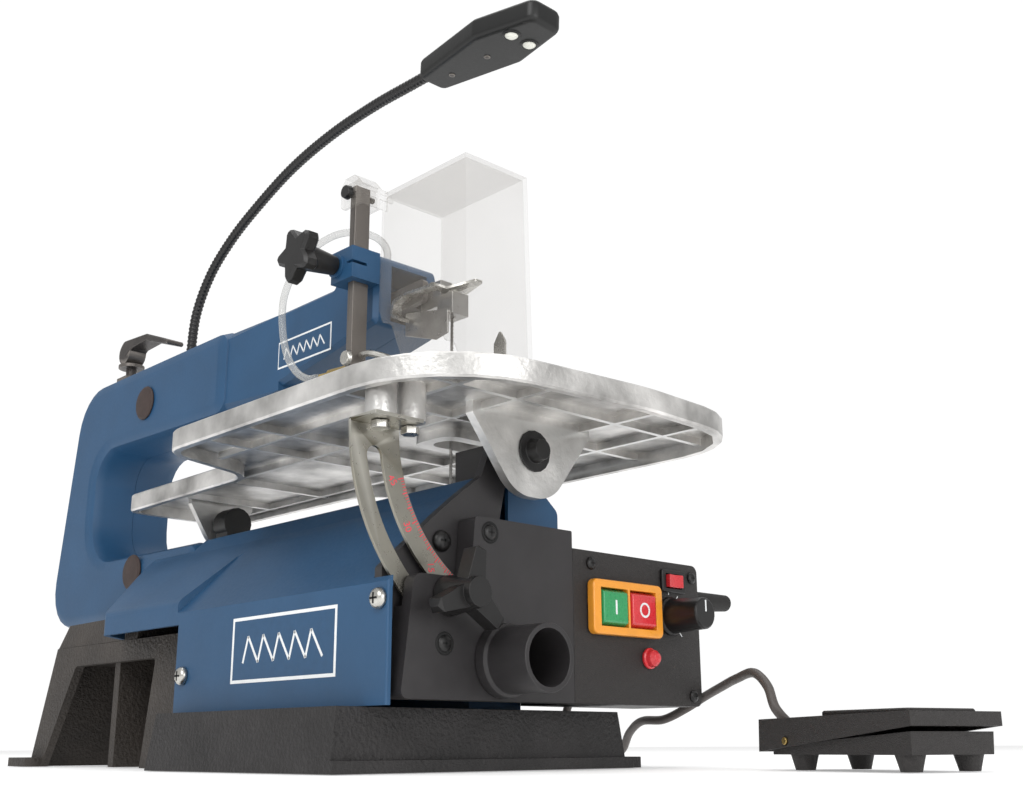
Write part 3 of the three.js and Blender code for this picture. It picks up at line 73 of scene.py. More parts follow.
# Places that the details share, in mm, and the lamp head's droop in degrees.
TILT_AXIS_Z = 179
SPEED_KNOB = (121, 91.5)
PANEL_Y = -260
PRINT_LIFT = 0.05
LAMP_HINGE = (0, -162, 468)
LAMP_DROOP = 3


# ---- camera and light -------------------------------------------------------
def make_camera():
    yaw, pitch, roll = (math.radians(angle) for angle in VIEW_TURN)
    forward = Vector((math.cos(yaw) * math.cos(pitch), math.sin(yaw) * math.cos(pitch), math.sin(pitch)))
    data = bpy.data.cameras.new("camera")
    data.lens = LENS
    data.sensor_width = SENSOR
    data.clip_start = 0.05
    camera = bpy.data.objects.new("camera", data)
    bpy.context.scene.collection.objects.link(camera)
    look = forward.to_track_quat("-Z", "Y").to_matrix().to_4x4()
    camera.matrix_world = Matrix.Translation(VIEW_FROM) @ look @ Matrix.Rotation(roll, 4, "Z")
    bpy.context.scene.camera = camera


def area_light(name, at, size, power):
    data = bpy.data.lights.new(name, "AREA")
    data.shape = "RECTANGLE"
    data.size, data.size_y = size
    data.energy = power
    lamp = bpy.data.objects.new(name, data)
    bpy.context.scene.collection.objects.link(lamp)
    lamp.location = at
    lamp.rotation_euler = (Vector(AIM) - Vector(at)).to_track_quat("-Z", "Y").to_euler()


def make_studio():
    """White surround that lights the saw less than it shows, three soft lamps and a pale floor."""
    world = bpy.data.worlds.new("studio")
    bpy.context.scene.world = world
    world.use_nodes = True
    nodes, links = world.node_tree.nodes, world.node_tree.links
    glow = nodes["Background"]
    glow.inputs["Color"].default_value = (1, 1, 1, 1)
    seen = nodes.new("ShaderNodeMapRange")
    seen.inputs["To Min"].default_value = SKY_LIGHT
    seen.inputs["To Max"].default_value = SKY_SEEN
    links.new(nodes.new("ShaderNodeLightPath").outputs["Is Camera Ray"], seen.inputs["Value"])
    links.new(seen.outputs["Result"], glow.inputs["Strength"])
    area_light("key", (-1.7, -0.9, 1.5), (1.2, 1.2), 20)
    area_light("front", (-0.3, -2.4, 0.7), (1.6, 0.9), 15)
    area_light("top", (0.3, 0.2, 2.2), (1.6, 1.6), 14)
    mesh = bpy.data.meshes.new("floor")
    corners = [(x * FLOOR_HALF, y * FLOOR_HALF, 0) for x, y in ((-1, -1), (1, -1), (1, 1), (-1, 1))]
    mesh.from_pydata(corners, [], [(0, 1, 2, 3)])
    floor = bpy.data.objects.new("floor", mesh)
    floor.location.z = FLOOR_Z
    bpy.context.scene.collection.objects.link(floor)
    paper = surface("floor_paper", (0.93, 0.93, 0.93), 0.8, variation=0.01, grain=(300, 0.01))
    paper.shader.inputs["Emission Color"].default_value = (1, 1, 1, 1)
    paper.shader.inputs["Emission Strength"].default_value = 0.3
    mesh.materials.append(paper.made)
    bpy.context.scene.view_settings.view_transform = "Standard"


# ---- materials ----------------------------------------------------------------
def srgb(r, g, b):
    """Linear colour from eight-bit sRGB values."""
    shares = (c / 255 for c in (r, g, b))
    return tuple(c / 12.92 if c <= 0.04045 else ((c + 0.055) / 1.055) ** 2.4 for c in shares)


class Look:
    """A new material, with short calls for the nodes that the looks share."""

    MIX_UNDER, MIX_OVER, MIX_RESULT = 6, 7, 2

    def __init__(self, name):
        self.made = bpy.data.materials.new(name)
        self.made.use_nodes = True
        self.nodes = self.made.node_tree.nodes
        self.links = self.made.node_tree.links
        self.shader = self.nodes["Principled BSDF"]
        self.place = self.nodes.new("ShaderNodeTexCoord")

    def set(self, socket, source):
        self.links.new(source, self.shader.inputs[socket])

    def noise(self, scale, detail=4):
        node = self.nodes.new("ShaderNodeTexNoise")
        node.inputs["Scale"].default_value = scale
        node.inputs["Detail"].default_value = detail
        self.links.new(self.place.outputs["Object"], node.inputs["Vector"])
        return node.outputs["Fac"]

    def ramp(self, value, low, high, ends=(0, 1)):
        node = self.nodes.new("ShaderNodeValToRGB")
        for element, position, color in zip(node.color_ramp.elements, ends, (low, high)):
            element.position = position
            element.color = (*color, 1)
        self.links.new(value, node.inputs["Fac"])
        return node.outputs["Color"]

    def spread(self, value, from_span=(0, 1), to_span=(0, 1)):
        node = self.nodes.new("ShaderNodeMapRange")
        for end, number in zip(("From Min", "From Max", "To Min", "To Max"), (*from_span, *to_span)):
            node.inputs[end].default_value = number
        self.links.new(value, node.inputs["Value"])
        return node.outputs["Result"]

    def axis(self, output, letter):
        """One coordinate of the place on the object, or of the way its surface looks."""
        node = self.nodes.new("ShaderNodeSeparateXYZ")
        self.links.new(self.place.outputs[output], node.inputs["Vector"])
        return node.outputs[letter]

    def lay_over(self, factor, color=None, source=None):
        """Mixes a plain colour, or one from a socket, over the base colour."""
        base = self.shader.inputs["Base Color"].links[0].from_socket
        node = self.nodes.new("ShaderNodeMix")
        node.data_type = "RGBA"
        self.links.new(factor, node.inputs["Factor"])
        self.links.new(base, node.inputs[self.MIX_UNDER])
        if source:
            self.links.new(source, node.inputs[self.MIX_OVER])
        else:
            node.inputs[self.MIX_OVER].default_value = (*color, 1)
        self.set("Base Color", node.outputs[self.MIX_RESULT])


def surface(
    name, color, roughness, metallic=0.0, variation=0.12, blotch=40, grain=(900, 0.15), rough_swing=0.08,
    coat=0.0, wear=None, depth=0.0003, second=None,
):
    """Blotchy colour, uneven roughness, a fine bump and, with wear, paler edges. Grain: scale, strength."""
    look = Look(name)
    look.shader.inputs["Metallic"].default_value = metallic
    look.shader.inputs["Coat Weight"].default_value = coat
    low = [c * (1 - variation) for c in color]
    high = [min(c * (1 + variation), 1) for c in second or color]
    look.set("Base Color", look.ramp(look.noise(blotch), low, high, (0.3, 0.7)))
    if wear:
        point = look.nodes.new("ShaderNodeNewGeometry").outputs["Pointiness"]
        look.lay_over(look.spread(point, (0.52, 0.6)), wear)
    scale, strength = grain
    rough_span = (max(roughness - rough_swing, 0.03), min(roughness + rough_swing, 1))
    look.set("Roughness", look.spread(look.noise(scale * 0.3), to_span=rough_span))
    bump = look.nodes.new("ShaderNodeBump")
    bump.inputs["Strength"].default_value = strength
    bump.inputs["Distance"].default_value = depth
    look.links.new(look.noise(scale, 6), bump.inputs["Height"])
    look.set("Normal", bump.outputs["Normal"])
    return look


def base_iron():
    """Black front block and a paler rear deck, split by where they are on the casting."""
    look = surface("cast_iron", srgb(40, 38, 38), 0.56, 0.1, 0.3, 30, (420, 1.0), 0.1, depth=0.0012)
    border = look.spread(look.axis("Object", "Y"), (-0.041, -0.035))
    deck = look.ramp(look.noise(26, 8), srgb(32, 29, 27), srgb(74, 67, 61))
    look.lay_over(border, source=deck)
    return look


def cast_alloy():
    """Mottled casting with a machined upper face, told apart by which way the surface looks."""
    look = surface(
        "cast_aluminium", srgb(176, 174, 171), 0.36, 0.8, 0.22, 34, (330, 0.55), 0.12,
        wear=srgb(226, 226, 224), depth=0.0006, second=srgb(222, 220, 217),
    )
    upward = look.spread(look.axis("Normal", "Z"), (0.9, 0.99))
    lines = look.nodes.new("ShaderNodeTexWave")
    lines.bands_direction = "X"
    lines.inputs["Scale"].default_value = 260
    lines.inputs["Distortion"].default_value = 1.5
    look.links.new(look.place.outputs["Object"], lines.inputs["Vector"])
    look.lay_over(upward, source=look.ramp(lines.outputs["Fac"], srgb(188, 187, 185), srgb(208, 207, 205)))
    return look


def clear_plastic(name, tint, haze, rim):
    """Clear sheet: nearly open where it is faced, greyer where it is seen edge on."""
    look = Look(name)
    look.shader.inputs["Roughness"].default_value = 0.07
    look.shader.inputs["IOR"].default_value = 1.49
    smear = look.noise(18, 6)
    look.set("Base Color", look.ramp(smear, [c * 0.85 for c in tint], tint))
    facing = look.nodes.new("ShaderNodeLayerWeight")
    facing.inputs["Blend"].default_value = 0.5
    film = look.spread(facing.outputs["Facing"], (0.35, 1), (haze, rim))
    swing = look.nodes.new("ShaderNodeMath")
    swing.operation = "MULTIPLY_ADD"
    swing.inputs[1].default_value = 0.05
    look.links.new(smear, swing.inputs[0])
    look.links.new(film, swing.inputs[2])
    look.set("Alpha", swing.outputs["Value"])
    return look


def make_materials():
    blue = srgb(34, 76, 112)
    looks = {
        "base": base_iron(),
        "blue": surface("blue_paint", blue, 0.46, 0, 0.07, 25, (1400, 0.22), 0.06),
        "satin": surface("satin_black", srgb(44, 42, 43), 0.42, 0, 0.12, 60, (1700, 0.25), 0.06),
        "grain": surface(
            "grained_black", srgb(40, 37, 36), 0.55, 0, 0.2, 500, (1500, 0.9), 0.1, depth=0.0008,
        ),
        "black": surface("moulded_black", srgb(22, 21, 21), 0.38, 0, 0.15, 80, (1500, 0.15), 0.08),
        "lamp_black": surface("lamp_black", srgb(10, 11, 10), 0.42, 0, 0.15, 80, (1500, 0.15), 0.06),
        "rubber": surface("black_rubber", srgb(30, 29, 28), 0.72, 0, 0.15, 90, (1200, 0.4)),
        "cable": surface("cable_jacket", srgb(86, 80, 77), 0.5, 0, 0.1, 60, (1500, 0.3)),
        "alloy": cast_alloy(),
        "zinc": surface("zinc_plate", srgb(196, 194, 188), 0.28, 0.95, 0.12, 120, (900, 0.12), 0.08),
        "olive": surface(
            "passivated_steel", srgb(92, 86, 68), 0.3, 0.9, 0.25, 70, (700, 0.15), 0.1,
            wear=srgb(232, 230, 222),
        ),
        "steel": surface("bright_steel", srgb(170, 168, 165), 0.3, 0.95, 0.12, 90, (900, 0.15)),
        "dark": surface(
            "blackened_steel", srgb(72, 68, 66), 0.4, 0.6, 0.2, 90, (900, 0.25), wear=srgb(140, 134, 128),
        ),
        "brass": surface("brass", srgb(190, 164, 104), 0.3, 0.95, 0.12, 110, (900, 0.15)),
        "brown": surface("brown_caps", srgb(58, 44, 40), 0.6, 0, 0.2, 90, (900, 0.5)),
        "yellow": surface("amber_plastic", srgb(244, 160, 48), 0.3, 0, 0.06, 60, (1400, 0.08), coat=0.4),
        "green": surface("green_key", srgb(38, 150, 88), 0.28, 0, 0.08, 60, (1400, 0.08), coat=0.5),
        "red": surface("red_key", srgb(214, 48, 56), 0.28, 0, 0.08, 60, (1400, 0.08), coat=0.5),
        "white": surface("white_print", srgb(238, 240, 240), 0.5, 0, 0.03, 200, (1400, 0.08)),
        "red_print": surface("red_print", srgb(226, 70, 84), 0.5, 0, 0.05, 300, (1400, 0.08)),
        "field": surface("label_field", blue, 0.45, 0, 0.05, 200, (1400, 0.08)),
        "guard": clear_plastic("clear_guard", srgb(176, 170, 162), 0.05, 0.5),
        "hose": clear_plastic("clear_hose", srgb(206, 206, 202), 0.28, 0.75),
        "lens": surface("lamp_lens", srgb(236, 236, 226), 0.35, 0, 0.04, 300, (1400, 0.2)),
        # Near-black painted shade for the screws' cross recesses and the hollows round the housing screws.
        "hollow_shade": surface("painted_recess_shade", srgb(14, 14, 14), 0.8, 0, 0.1, 300, (900, 0.1)),
    }
    return {key: look.made for key, look in looks.items()}


# ---- mesh helpers -----------------------------------------------------------------
def add_piece(name, mesh, material, body, smooth=True):
    piece = bpy.data.objects.new(name, mesh)
    bpy.context.scene.collection.objects.link(piece)
    mesh.materials.append(MATERIALS[material])
    for face in mesh.polygons:
        face.use_smooth = smooth
    if body:
        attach(piece, body)
    return piece


def mesh_of(name, verts, faces):
    """Mesh from points in mm."""
    mesh = bpy.data.meshes.new(name)
    mesh.from_pydata([Vector(v) * MM for v in verts], [], faces)
    mesh.update()
    return mesh


def add_shape(name, shape, material, body):
    """Smooth piece from points and faces."""
    return add_piece(name, mesh_of(name, *shape), material, body)


def add_print(name, strips, thickness, material, body):
    """Flat strokes that stand a little above a face."""
    return add_piece(name, mesh_of(name, *bars(strips, thickness)), material, body, False)


def soften(piece, width, segments):
    bevel = piece.modifiers.new("edges", "BEVEL")
    bevel.width = width
    bevel.segments = segments
    bevel.limit_method = "ANGLE"
    bevel.angle_limit = math.radians(28)
    normals = piece.modifiers.new("normals", "WEIGHTED_NORMAL")
    normals.weight = 90


def refine(node, material, width, segments):
    """The CAD node with rounded edges, as a piece of its own. Width is in millimetres."""
    name = node + "_skin"
    bm = bmesh.new()
    bm.from_mesh(NODES[node].data)
    bmesh.ops.remove_doubles(bm, verts=bm.verts, dist=2e-6)
    bmesh.ops.dissolve_limit(bm, angle_limit=math.radians(0.5), verts=bm.verts, edges=bm.edges)
    mesh = bpy.data.meshes.new(name)
    bm.to_mesh(mesh)
    bm.free()
    mesh.set_sharp_from_angle(angle=math.radians(38))
    piece = add_piece(name, mesh, material, None)
    if width:
        soften(piece, width * MM, segments)
    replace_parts(piece, node)
    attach(piece, BODY_OF[node])


def lathe(profile, at, axis, sides=28):
    """Closed turned shape: (radius, height) in mm from axis to axis, standing on a point along the axis."""
    turn = Vector((0, 0, 1)).rotation_difference(Vector(axis)).to_matrix()
    verts, faces, rings = [], [], []
    for radius, height in profile:
        if radius < 1e-6:
            rings.append([len(verts)])
            verts.append(Vector(at) + turn @ Vector((0, 0, height)))
            continue
        rings.append(list(range(len(verts), len(verts) + sides)))
        for i in range(sides):
            a = 2 * math.pi * i / sides
            verts.append(Vector(at) + turn @ Vector((radius * math.cos(a), radius * math.sin(a), height)))
    for low, high in zip(rings, rings[1:]):
        for i in range(sides):
            j = (i + 1) % sides
            if len(low) == 1:
                faces.append((low[0], high[j], high[i]))
            elif len(high) == 1:
                faces.append((low[i], low[j], high[0]))
            else:
                faces.append((low[i], low[j], high[j], high[i]))
    return verts, faces


def bars(strips, thickness):
    """Thin raised strokes: each strip is (start, end, width, outward normal)."""
    verts, faces = [], []
    for start, end, width, normal in strips:
        a, b, n = Vector(start), Vector(end), Vector(normal).normalized()
        side = (b - a).normalized().cross(n) * width / 2
        k = len(verts)
        for lift in (0, thickness):
            verts += [a - side + n * lift, b - side + n * lift, b + side + n * lift, a + side + n * lift]
        faces += [(k, k + 3, k + 2, k + 1), (k + 4, k + 5, k + 6, k + 7)]
        faces += [(k + i, k + (i + 1) % 4, k + 4 + (i + 1) % 4, k + 4 + i) for i in range(4)]
    return verts, faces


def smooth_path(points, step):
    """Dense centripetal Catmull-Rom line through the points, in mm."""
    pts = [Vector(p) for p in points]
    pts = [pts[0] * 2 - pts[1]] + pts + [pts[-1] * 2 - pts[-2]]
    out = []
    for p0, p1, p2, p3 in zip(pts, pts[1:], pts[2:], pts[3:]):
        t0 = 0.0
        t1 = t0 + (p1 - p0).length ** 0.5
        t2 = t1 + (p2 - p1).length ** 0.5
        t3 = t2 + (p3 - p2).length ** 0.5
        count = max(2, round((p2 - p1).length / step))
        for i in range(count):
            t = t1 + (t2 - t1) * i / count
            a1 = p0 * ((t1 - t) / (t1 - t0)) + p1 * ((t - t0) / (t1 - t0))
            a2 = p1 * ((t2 - t) / (t2 - t1)) + p2 * ((t - t1) / (t2 - t1))
            a3 = p2 * ((t3 - t) / (t3 - t2)) + p3 * ((t - t2) / (t3 - t2))
            b1 = a1 * ((t2 - t) / (t2 - t0)) + a2 * ((t - t0) / (t2 - t0))
            b2 = a2 * ((t3 - t) / (t3 - t1)) + a3 * ((t - t1) / (t3 - t1))
            out.append(b1 * ((t2 - t) / (t2 - t1)) + b2 * ((t - t1) / (t2 - t1)))
    out.append(pts[-2].copy())
    return out


def tube(name, path, radius, sides):
    """Tube mesh on a dense path in mm; radius is a number or a function of the distance along the path."""
    verts, faces = [], []
    normal = None
    along = 0.0
    for i, p in enumerate(path):
        tangent = (path[min(i + 1, len(path) - 1)] - path[max(i - 1, 0)]).normalized()
        if normal is None:
            normal = tangent.orthogonal().normalized()
        normal = (normal - tangent * normal.dot(tangent)).normalized()
        side = tangent.cross(normal)
        along += (p - path[i - 1]).length if i else 0
        r = radius(along) if callable(radius) else radius
        verts += [p + (normal * math.cos(a) + side * math.sin(a)) * r
                  for a in (2 * math.pi * k / sides for k in range(sides))]
    for i in range(len(path) - 1):
        for k in range(sides):
            j = (k + 1) % sides
            faces.append((i * sides + k, i * sides + j, (i + 1) * sides + j, (i + 1) * sides + k))
    faces.append(tuple(reversed(range(sides))))
    last = (len(path) - 1) * sides
    faces.append(tuple(range(last, last + sides)))
    return mesh_of(name, verts, faces)


# ---- cords ------------------------------------------------------------------------
CABLE_D = 5.6
HOSE_D = 5.2
CORD_STEP = 2.5
COIL_AT = (172.0, -62.0)
COIL_TURN = 1260
COIL_STEP = 15
PEDAL_AT = (63.7, -451)
PEDAL_TURN = 75


def eased(keys, x):
    """Value at x between keys of (x, value), with soft changes."""
    for (x0, v0), (x1, v1) in zip(keys, keys[1:]):
        if x <= x1:
            t = (x - x0) / (x1 - x0)
            return v0 + (v1 - v0) * t * t * (3 - 2 * t)
    return keys[-1][1]


def coil_points():
    """Three and a half turns in two lanes and two layers, entered on the left and left on the right."""
    outer, middle, inner = 42.5, 36.6, 31
    low, high = 3.0, 8.6
    radius_keys = [
        (0, outer), (90, middle), (350, middle), (410, inner), (1040, inner), (1085, middle), (1150, middle),
        (1210, outer), (COIL_TURN, outer),
    ]
    height_keys = [
        (0, low), (690, low), (735, high), (1205, high), (1256, low + 0.6), (COIL_TURN, low + 0.3),
    ]
    points = []
    for turn in range(COIL_STEP, COIL_TURN, COIL_STEP):
        a = math.radians(180 - turn)
        r = eased(radius_keys, turn)
        points.append((COIL_AT[0] + r * math.cos(a), COIL_AT[1] + r * math.sin(a), eased(height_keys, turn)))
    return points


def pedal_point(u, v, z):
    """Point on the pedal's own axes, u along it and v across."""
    c, s = math.cos(math.radians(PEDAL_TURN)), math.sin(math.radians(PEDAL_TURN))
    return (PEDAL_AT[0] + c * u - s * v, PEDAL_AT[1] + s * u + c * v, z)


CABLE_REAR = [
    (132, -188.7, 56), (132, -178, 56), (133, -168, 52), (135, -158, 42), (137, -150, 28), (138.5, -142, 14),
    (139, -132, 6), (138, -120, 3), (136.5, -100, 3), (129.5, -74, 3),
]
CABLE_FRONT = [
    (214.5, -62, 3), (214.5, -84, 3), (211, -110, 3), (203, -136, 5), (189, -158, 11), (174, -178, 22),
    (162, -200, 29), (158, -222, 29.6), (158.5, -240, 36), (158, -256, 43), (148, -277, 48), (134, -300, 52),
    (123, -321, 54), (114.5, -336, 45), (110.5, -343, 33),
    pedal_point(114.5, -28, 22), pedal_point(107, -28, 16), pedal_point(99, -28, 15),
]
HOSE = [
    (-8, -128, 336.3), (-8, -128, 343), (-10, -122, 353), (-18, -108, 361), (-27, -92, 361), (-36, -78, 352),
    (-41, -64, 338), (-43, -55, 320), (-43, -55, 298), (-43, -63, 275), (-43, -76, 260), (-43, -90, 252.5),
    (-42.9, -100, 251),
]


def make_cords():
    path = smooth_path(CABLE_REAR + coil_points() + CABLE_FRONT, CORD_STEP)
    piece = add_piece("pedal_cable", tube("pedal_cable", path, CABLE_D / 2, 12), "cable", "machine")
    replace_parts(piece, "pedal_cable_rear", "pedal_cable_coil", "pedal_cable_front")
    path = smooth_path(HOSE, CORD_STEP)
    hose = add_piece("blower_hose", tube("blower_hose", path, HOSE_D / 2, 14), "hose", None)
    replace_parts(hose, "air_hose")
    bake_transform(hose)


# ---- details ------------------------------------------------------------------------
def screw(name, at, axis, radius, height, material="black"):
    """Pan head with a cross recess drawn as near-black strips of painted shade, on the machine."""
    profile = [
        (0, -0.2), (radius, -0.2), (radius, height * 0.35), (radius * 0.86, height * 0.72),
        (radius * 0.5, height * 0.97), (0, height),
    ]
    piece = add_shape(name, lathe(profile, at, axis, 24), material, "machine")
    n = Vector(axis).normalized()
    u = n.orthogonal().normalized()
    v = n.cross(u)
    top = Vector(at) + n * (height * 0.86)
    reach = radius * 0.52
    diagonals = ((u + v).normalized(), (u - v).normalized())
    cross = [(top - d * reach, top + d * reach, radius * 0.2, n) for d in diagonals]
    # The cross recess is not cut: near-black strips on the head paint its shade.
    add_print(name + "_recess", cross, height * 0.16, "hollow_shade", "machine")
    return piece


def print_figure(name, text, at, size, spin):
    """Thin raised red figures on the quadrant, on a face that looks along -Y."""
    curve = bpy.data.curves.new(name, "FONT")
    curve.body = text
    curve.size = size * MM
    curve.extrude = 0.06 * MM
    curve.align_x, curve.align_y = "CENTER", "CENTER"
    holder = bpy.data.objects.new(name + "_curve", curve)
    bpy.context.scene.collection.objects.link(holder)
    bpy.context.view_layer.update()
    mesh = bpy.data.meshes.new_from_object(holder.evaluated_get(bpy.context.evaluated_depsgraph_get()))
    bpy.data.objects.remove(holder)
    upright = Matrix.Rotation(math.radians(90), 4, "X")
    mesh.transform(Matrix.Translation(Vector(at) * MM) @ upright @ Matrix.Rotation(spin, 4, "Z"))
    mesh.name = name
    mesh.materials.clear()
    add_piece(name, mesh, "red_print", "table", False)


def tilt_scale():
    """Ticks for every degree from 0 to 45 on the quadrant, with the figures beside them."""
    face = -251 - PRINT_LIFT
    zero_at = 242
    inner, figures = 92, 99.8

    def on_scale(radius, a):
        return (radius * math.cos(a), face, TILT_AXIS_Z + radius * math.sin(a))

    strips = []
    for degree in range(0, 46):
        a = math.radians(zero_at - degree)
        long = 4.0 if degree % 15 == 0 else 3.2 if degree % 5 == 0 else 2.1
        strips.append((on_scale(inner, a), on_scale(inner + long, a), 0.42 if degree % 5 else 0.6, TO_FRONT))
    add_print("tilt_scale", strips, 0.12, "red_print", "table")
    for degree in (0, 15, 30, 45):
        a = math.radians(zero_at - degree + (1.5 if degree == 0 else 0))
        spin = math.radians(145) - a
        print_figure(f"tilt_figure_{degree}", str(degree), on_scale(figures, a), 6.0, spin)


def label(name, x, box, line, teeth):
    """White frame with a saw-tooth line in it: a plain label of no maker. box is y0, y1, z0 and z1."""
    y0, y1, z0, z1 = box
    h = line / 2
    strips = [((x, y0, z), (x, y1, z), line, TO_LEFT) for z in (z0 + h, z1 - h)]
    strips += [((x, y, z0 + line), (x, y, z1 - line), line, TO_LEFT) for y in (y0 + h, y1 - h)]
    margin = (y1 - y0) * 0.12
    pitch = (y1 - y0 - 2 * margin) / teeth
    middle, swing = (z0 + z1) / 2, (z1 - z0) * 0.2
    for i in range(teeth):
        a = y0 + margin + i * pitch
        tip = (x, a + pitch * 0.7, middle + swing)
        strips.append(((x, a, middle - swing), tip, line * 0.9, TO_LEFT))
        strips.append((tip, (x, a + pitch, middle - swing), line * 0.9, TO_LEFT))
    add_print(name, strips, 0.14, "white", "machine")
    field = [((x, y0 + h, middle), (x, y1 - h, middle), z1 - z0 - line, TO_LEFT)]
    add_print(name + "_field", field, 0.06, "field", "machine")


def control_marks():
    """Marks round the speed knob, its pointer, and the signs on the two keys."""
    knob_x, knob_z = SPEED_KNOB
    strips = []
    for i in range(9):
        a = math.radians(225 - i * 33.75)
        face = PANEL_Y - PRINT_LIFT
        ends = [(knob_x + r * math.cos(a), face, knob_z + r * math.sin(a)) for r in (13.6, 15.0 + 0.22 * i)]
        strips.append((*ends, 0.7, TO_FRONT))
    add_print("speed_marks", strips, 0.12, "white", "machine")
    knob_y = -289 - PRINT_LIFT
    pointer = [((knob_x, knob_y, 92.5), (knob_x, knob_y, 99.5), 1.2, TO_FRONT)]
    add_print("speed_pointer", pointer, 0.15, "white", "dial")
    key_y = -267.02
    stroke = [((63.3, key_y, 88.5), (63.3, key_y, 97), 1.5, TO_FRONT)]
    add_print("start_sign", stroke, 0.12, "white", "start_key")
    corners = [2 * math.pi * k / 16 for k in range(17)]
    ring = [(89.3 + 4 * math.cos(a), key_y, 92.7 + 4 * math.sin(a)) for a in corners]
    strips = [(a, b, 1.3, TO_FRONT) for a, b in zip(ring, ring[1:])]
    add_print("stop_sign", strips, 0.12, "white", "stop_key")


def lamp_details():
    """Ribbed neck with its collar and ball, and two small lenses and two screws under the head."""
    neck = [
        (0, 153, 323), (0, 153, 340), (0, 148, 372), (0, 128, 402), (0, 96, 425), (0, 56, 443), (0, 8, 459),
        (0, -44, 468), (0, -98, 471), (0, -142, 470), (0, -158.5, 469.6),
    ]
    rib_pitch = 3.6

    def ribs(s):
        return 3.9 + 0.32 * math.cos(2 * math.pi * s / rib_pitch)

    ribbed = tube("lamp_neck_skin", smooth_path(neck, 0.9), ribs, 14)
    piece = add_piece("lamp_neck_skin", ribbed, "black", "lamp_neck")
    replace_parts(piece, "gooseneck")
    collar = lathe([(0, 0), (8, 0), (8, 2.5), (6.6, 5), (5.4, 9), (0, 9)], (0, 153, 322.3), UP)
    add_shape("lamp_neck_collar", collar, "black", "lamp_neck")
    droop = Matrix.Translation(LAMP_HINGE) @ Matrix.Rotation(math.radians(LAMP_DROOP), 4, "X")
    turn = droop @ Matrix.Translation((0, -LAMP_HINGE[1], 0))
    down = turn.to_3x3() @ Vector((0, 0, -1))
    for side, name in ((-1, "lamp_lens_left"), (1, "lamp_lens_right")):
        seat = turn @ Vector((side * 8, -254, -7.4))
        ring = lathe([(0, 0), (6.2, 0), (6.2, 0.9), (5.4, 1.5), (4.6, 0.9), (0, 0.9)], seat, down, 20)
        add_shape(name + "_ring", ring, "black", "lamp")
        lens = lathe([(0, 0.9), (4.4, 0.9), (4.2, 1.6), (2.6, 2.7), (0, 3.1)], seat, down, 20)
        add_shape(name, lens, "lens", "lamp")
    for k, y in enumerate((-186, -222)):
        seat = turn @ Vector((0, y, -7.9))
        head = lathe([(0, 0), (2.2, 0), (2.2, 0.6), (1.2, 0.8), (0, 0.8)], seat, down, 16)
        add_shape(f"lamp_screw_{k + 1}", head, "dark", "lamp")
    ball = lathe([(0, -3.2), (3.4, -2.6), (4.4, 0), (3.4, 2.6), (0, 3.2)], (0, -160.3, 469.4), (0, 1, 0), 20)
    add_shape("lamp_ball", ball, "black", "lamp_neck")


def blade_mesh():
    """Thin blade with fine teeth on its front edge."""
    low, high, back, root, tip = 157.0, 292.0, -186.7, -188.6, -189.3
    teeth = 54
    pitch = (high - low) / teeth
    line = [(back, high), (back, low), (root, low)]
    for i in range(teeth):
        line += [(tip, low + pitch * (i + 0.15)), (root, low + pitch * (i + 0.95))]
    verts = [(x, y, z) for x in (-0.3, 0.3) for y, z in line]
    n = len(line)
    faces = [tuple(reversed(range(n))), tuple(range(n, 2 * n))]
    faces += [(i, (i + 1) % n, n + (i + 1) % n, n + i) for i in range(n)]
    bm = bmesh.new()
    mesh = mesh_of("blade_toothed", verts, faces)
    bm.from_mesh(mesh)
    bmesh.ops.recalc_face_normals(bm, faces=bm.faces)
    bmesh.ops.triangulate(bm, faces=bm.faces)
    bm.to_mesh(mesh)
    bm.free()
    piece = add_piece("blade_toothed", mesh, "steel", "blade_set", False)
    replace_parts(piece, "blade")


def make_screws():
    for node, at in (("cover_screw_front", (-101.3, -250, 87)), ("cover_screw_rear", (-101.3, -52, 56))):
        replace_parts(screw(node + "_head", at, TO_LEFT, 5.6, 4.4, "zinc"), node)
    for i, (x, z) in enumerate([(48.8, 118.3), (144.2, 117.6), (142, 42.8)]):
        screw(f"plate_screw_{i + 1}", (x, PANEL_Y, z), TO_FRONT, 3.8, 2.2)
    for i, (x, z) in enumerate([(-33, 127.7), (-65.5, 65.2)]):
        screw(f"housing_screw_{i + 1}", (x, PANEL_Y, z), TO_FRONT, 4.4, 1.6)
        # A thin near-black disc round each housing screw paints the shade of the hollow it sits in.
        seat = lathe([(0, 0), (6.2, 0), (6.2, 0.25), (5.0, 0.3), (0, 0.3)], (x, PANEL_Y, z), TO_FRONT)
        add_shape(f"housing_counterbore_shade_{i + 1}", seat, "hollow_shade", "machine")
    screw("bracket_screw", (-57, -246, 122), TO_FRONT, 6, 4)


def make_details():
    tilt_scale()
    label("cover_label", -101.02, (-213, -108, 49, 87), 1.9, 5)
    label("arm_label", -27.02, (-92, -26, 276.5, 297), 1.3, 6)
    control_marks()
    lamp_details()
    blade_mesh()
    make_screws()
    fitting = lathe([(0, 0), (2.9, 0), (2.9, 2.4), (2.2, 3), (2.2, 9.1), (0, 9.1)], (-8, -128, 327), UP, 20)
    add_shape("air_fitting", fitting, "zinc", "machine")


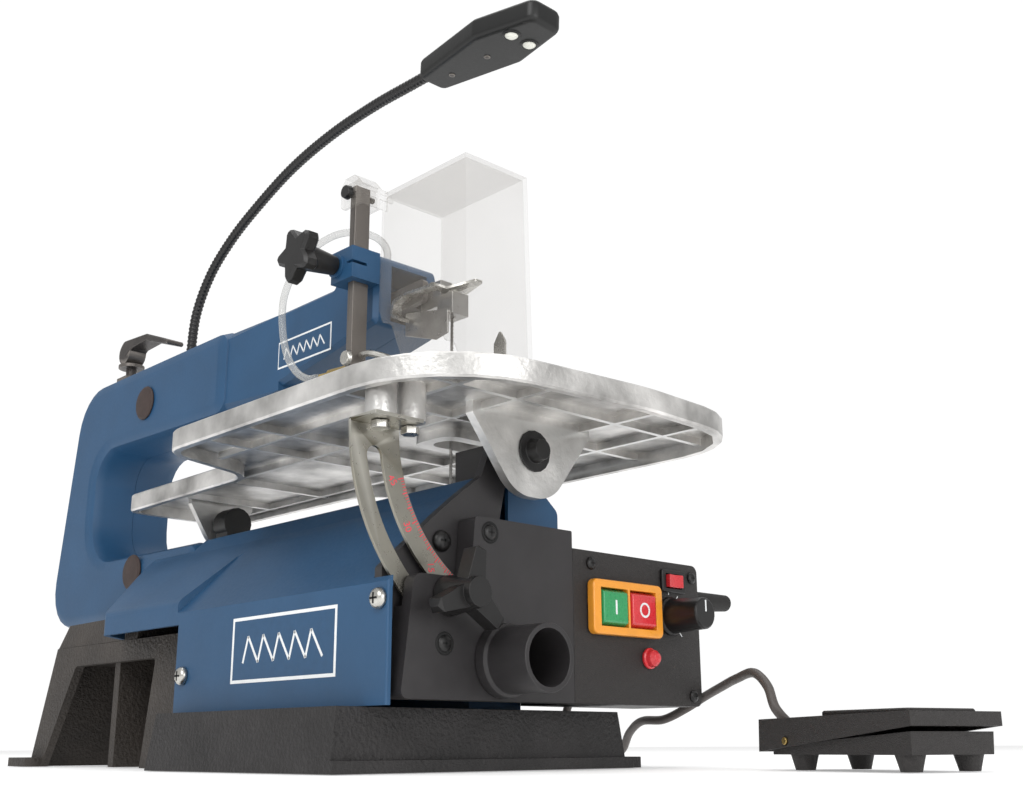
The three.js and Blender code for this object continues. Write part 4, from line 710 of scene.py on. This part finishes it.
# ---- the CAD nodes' skins: material, width of the rounded edges in mm, and segments -------
SKINS = {
    "base_casting": ("base", 1.6, 3), "frame_shell_left": ("blue", 0.8, 2),
    "frame_shell_right": ("blue", 0.8, 2), "lower_cover_left": ("blue", 1.0, 3),
    "lower_cover_right": ("blue", 0.8, 2), "post_clamp": ("blue", 0.8, 2),
    "control_housing": ("satin", 0.8, 2), "switch_plate": ("grain", 0.5, 2), "dust_port": ("satin", 0.5, 2),
    "switch_frame": ("yellow", 0.3, 2), "start_button": ("green", 1.0, 3), "stop_button": ("red", 1.0, 3),
    "rocker_bezel": ("black", 0.3, 2), "light_rocker": ("red", 0.3, 2), "pilot_lamp": ("red", 0.3, 2),
    "speed_knob": ("black", 0.5, 2), "lead_boot": ("rubber", 0.8, 2), "cable_gland": ("rubber", 0.4, 2),
    "motor_housing": ("black", 1.0, 2), "motor_rotor": ("steel", 0.4, 2), "end_plate": ("satin", 1.0, 2),
    "rear_trunnion": ("black", 0.6, 2), "front_pivot_bolt": ("black", 0.4, 2),
    "upper_pivot_cap": ("brown", 0.4, 2), "lower_pivot_cap": ("brown", 0.4, 2),
    "upper_pivot_pin": ("steel", 0.4, 2), "lower_pivot_pin": ("steel", 0.4, 2),
    "table_top": ("alloy", 0.7, 2), "table_insert": ("alloy", 0.3, 2), "tilt_quadrant": ("olive", 0.35, 2),
    "quadrant_screw_1": ("zinc", 0.4, 2), "quadrant_screw_2": ("zinc", 0.4, 2),
    "tilt_lock_knob": ("black", 1.6, 3), "upper_rocker_arm": ("dark", 0.6, 2),
    "lower_rocker_arm": ("dark", 0.6, 2), "connecting_rod": ("steel", 0.4, 2),
    "tension_rod": ("dark", 0.5, 2), "tension_lever": ("dark", 1.0, 3),
    "upper_blade_clamp": ("steel", 0.3, 2), "clamp_lever": ("zinc", 0, 0),
    "lower_blade_clamp": ("steel", 0.3, 2), "hold_down_post": ("dark", 0.4, 2),
    "presser_foot": ("zinc", 0.3, 2), "foot_screw": ("zinc", 0.6, 2), "air_nozzle": ("brass", 0.3, 2),
    "guard_shield": ("guard", 0.3, 2), "guard_screw": ("black", 0.6, 2),
    "post_clamp_knob": ("black", 1.4, 3), "lamp_head": ("lamp_black", 1.2, 3),
    "pedal_base": ("grain", 0.6, 2), "pedal_cover": ("grain", 1.0, 3), "pedal_pin": ("brass", 0.4, 2),
}

make_camera()
MATERIALS = make_materials()
make_studio()
make_cords()
for node_name, finish in SKINS.items():
    refine(node_name, *finish)
make_details()
